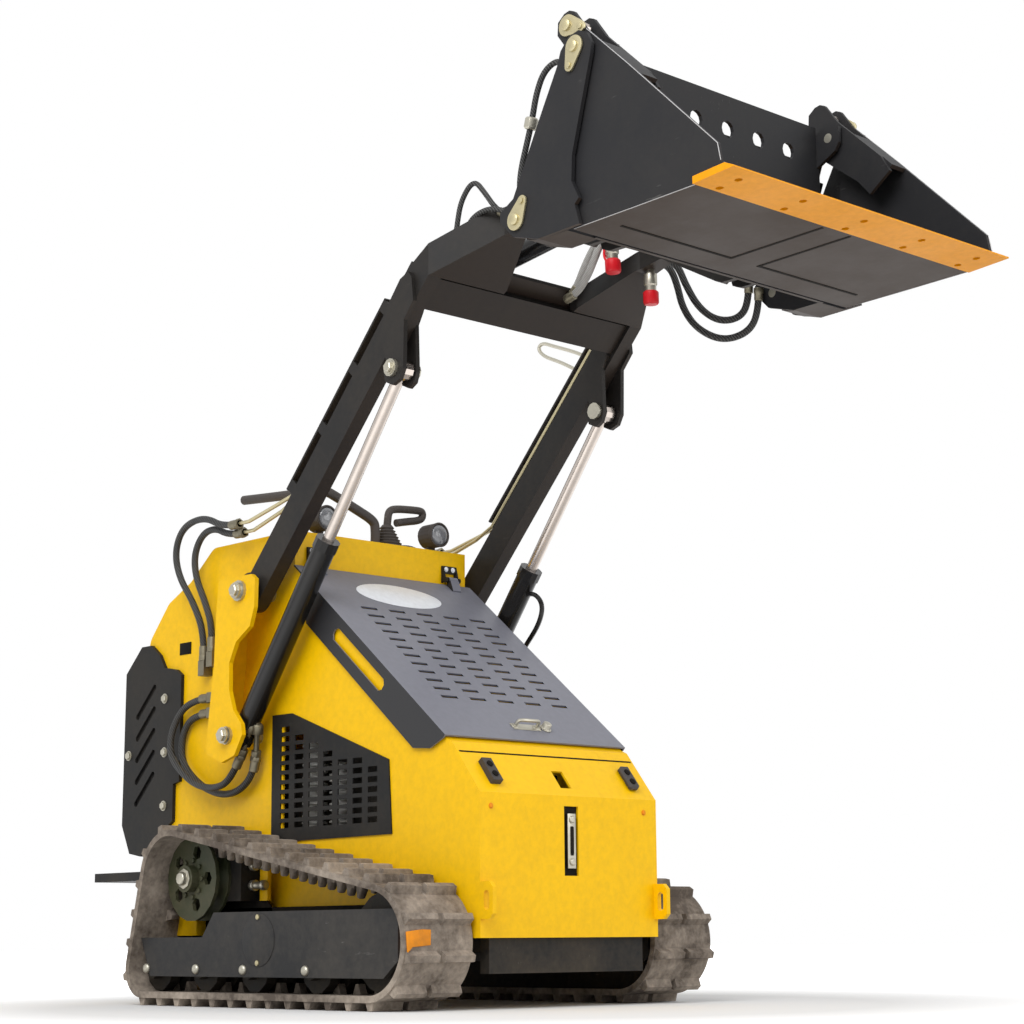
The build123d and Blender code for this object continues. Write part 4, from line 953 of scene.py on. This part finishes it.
# finned cooler columns that show through the grilles
def makeEngineFins():
    fin = {"count": 14, "pitch": 0.016, "foot": 0.425, "root": 0.020, "rim": 0.032,
           "y": 244, "rear": 268, "front": 372, "frontScale": 0.9}
    steps = [(0.012, fin["foot"]), (0.030, fin["foot"])]
    for ring in range(fin["count"]):
        base = fin["foot"] + ring * fin["pitch"]
        steps += [(fin["rim"], base + 0.001), (fin["rim"], base + 0.006),
                  (fin["root"], base + 0.008), (fin["root"], base + 0.015)]
    steps += [(0.030, 0.652), (0.012, 0.656)]
    places = [Matrix.Translation(spot(x, y, 0)) @ Matrix.Scale(scale, 4)
              for y in (-fin["y"], fin["y"])
              for x, scale in ((fin["rear"], 1), (fin["front"], fin["frontScale"]))]
    scatter("coolerFins", turned("stack", steps, 20), places, finMetal, "machine")


# painted highlights: thin bright lines along the clam's edges that stand in for light caught on
# the plate edges
def makeEdgeLines():
    wornAndEdgeGlint = {"radius": 0.0010, "sunk": 0.6, "runs": (
        ((1488, 2108), (1614, 1988), (1860, 1745), (1868, 1706)),
        ((1442, 1663), (1620, 1667), (1796, 1672)))}
    lines = []
    for side in (-1, 1):
        y = side * (outerFace("clam") - wornAndEdgeGlint["sunk"])
        for points in wornAndEdgeGlint["runs"]:
            places = [spot(x, y, z) for x, z in points]
            for start, end in zip(places, places[1:]):
                line = turned("line", ((wornAndEdgeGlint["radius"], 0),
                                       (wornAndEdgeGlint["radius"], (end - start).length)), 8)
                line.data.transform(aimed(start, end - start))
                lines.append(line)
    finishAll(lines, "paintedEdgeHighlights", paintedEdgeHighlight, "clam")


makeHoses()
print("hoses routed")
makeBarrelFittings()
makeBolts()
makeKeepers()
print("bolts and keepers placed")
makeHoodDetails()
makePanelDetails()
makeControls()
makeTrackDetails()
makeTrackMark()
makeTrackInside()
makeEngineFins()
print("body and track details placed")
makeCouplers()
makeArmHoses()
makeArmDetails()
makeEdgeLines()
print("arm and bucket details placed")

studio = {"floorSize": 60.0, "floorTone": tone(226, 226, 226), "skyStrength": 0.62,
          "whiteFrom": 1.0, "whiteTo": 2.5, "lampSize": 4.0, "lampAim": (0.1, 0, 0.9)}


# 1 on the rays that show a surface or the sky, 0 on those that light the object
def isSeen(tree):
    paths = addNode(tree, "LightPath")
    return combine(tree, "MAXIMUM", paths.outputs["Is Camera Ray"], combine(
        tree, "MAXIMUM", paths.outputs["Is Glossy Ray"], paths.outputs["Is Transmission Ray"]))


# the floor keeps the shadow near the machine and turns plain white further out
def makeFloor():
    bpy.ops.mesh.primitive_plane_add(size=studio["floorSize"], location=(0, 0, -0.001))
    floor = bpy.context.object
    floor.name = "studioFloor"
    material = bpy.data.materials.new("studioFloor")
    material.use_nodes = True
    tree = material.node_tree
    shader = tree.nodes["Principled BSDF"]
    setInputs(shader, {"Base Color": studio["floorTone"], "Roughness": 0.9,
                       "Emission Color": (1, 1, 1, 1)})
    coords = addNode(tree, "TexCoord").outputs["Object"]
    away = addNode(tree, "VectorMath")
    away.operation = "LENGTH"
    tree.links.new(coords, away.inputs[0])
    glow = ramp(tree, away.outputs["Value"], studio["whiteFrom"], studio["whiteTo"])
    tree.links.new(combine(tree, "MULTIPLY", glow, isSeen(tree)),
                   shader.inputs["Emission Strength"])
    floor.data.materials.append(material)


def makeLight(name, place, power):
    bpy.ops.object.light_add(type="AREA", location=place)
    lamp = bpy.context.object
    lamp.name = name
    lamp.data.size = studio["lampSize"]
    lamp.data.energy = power
    direction = Vector(studio["lampAim"]) - Vector(place)
    lamp.rotation_euler = direction.to_track_quat("-Z", "Y").to_euler()


def makeWorld():
    world = bpy.data.worlds.new("studio")
    bpy.context.scene.world = world
    world.use_nodes = True
    tree = world.node_tree
    background = tree.nodes["Background"]
    setInputs(background, {"Color": (1, 1, 1, 1)})
    strength = addNode(tree, "MapRange")
    setInputs(strength, {"To Min": studio["skyStrength"], "To Max": 1.0})
    tree.links.new(isSeen(tree), strength.inputs["Value"])
    tree.links.new(strength.outputs["Result"], background.inputs["Strength"])


def makeCamera():
    lens = {"place": (4.176173, -3.746090, 0.156357), "focal": 79.215,
            "turn": (100.7296, 0.4042, 47.1712)}
    bpy.ops.object.camera_add(location=lens["place"],
                              rotation=[math.radians(angle) for angle in lens["turn"]])
    camera = bpy.context.object
    camera.data.lens = lens["focal"]
    camera.data.sensor_width = 36.0
    camera.data.clip_end = 200.0
    bpy.context.scene.camera = camera


freeSelection()
makeFloor()
makeLight("keyLight", place=(2.5, -4.5, 5.0), power=300.0)
makeLight("fillLight", place=(6.0, 2.5, 3.5), power=110.0)
makeWorld()
makeCamera()
bpy.context.scene.view_settings.view_transform = "Standard"
print("studio ready")
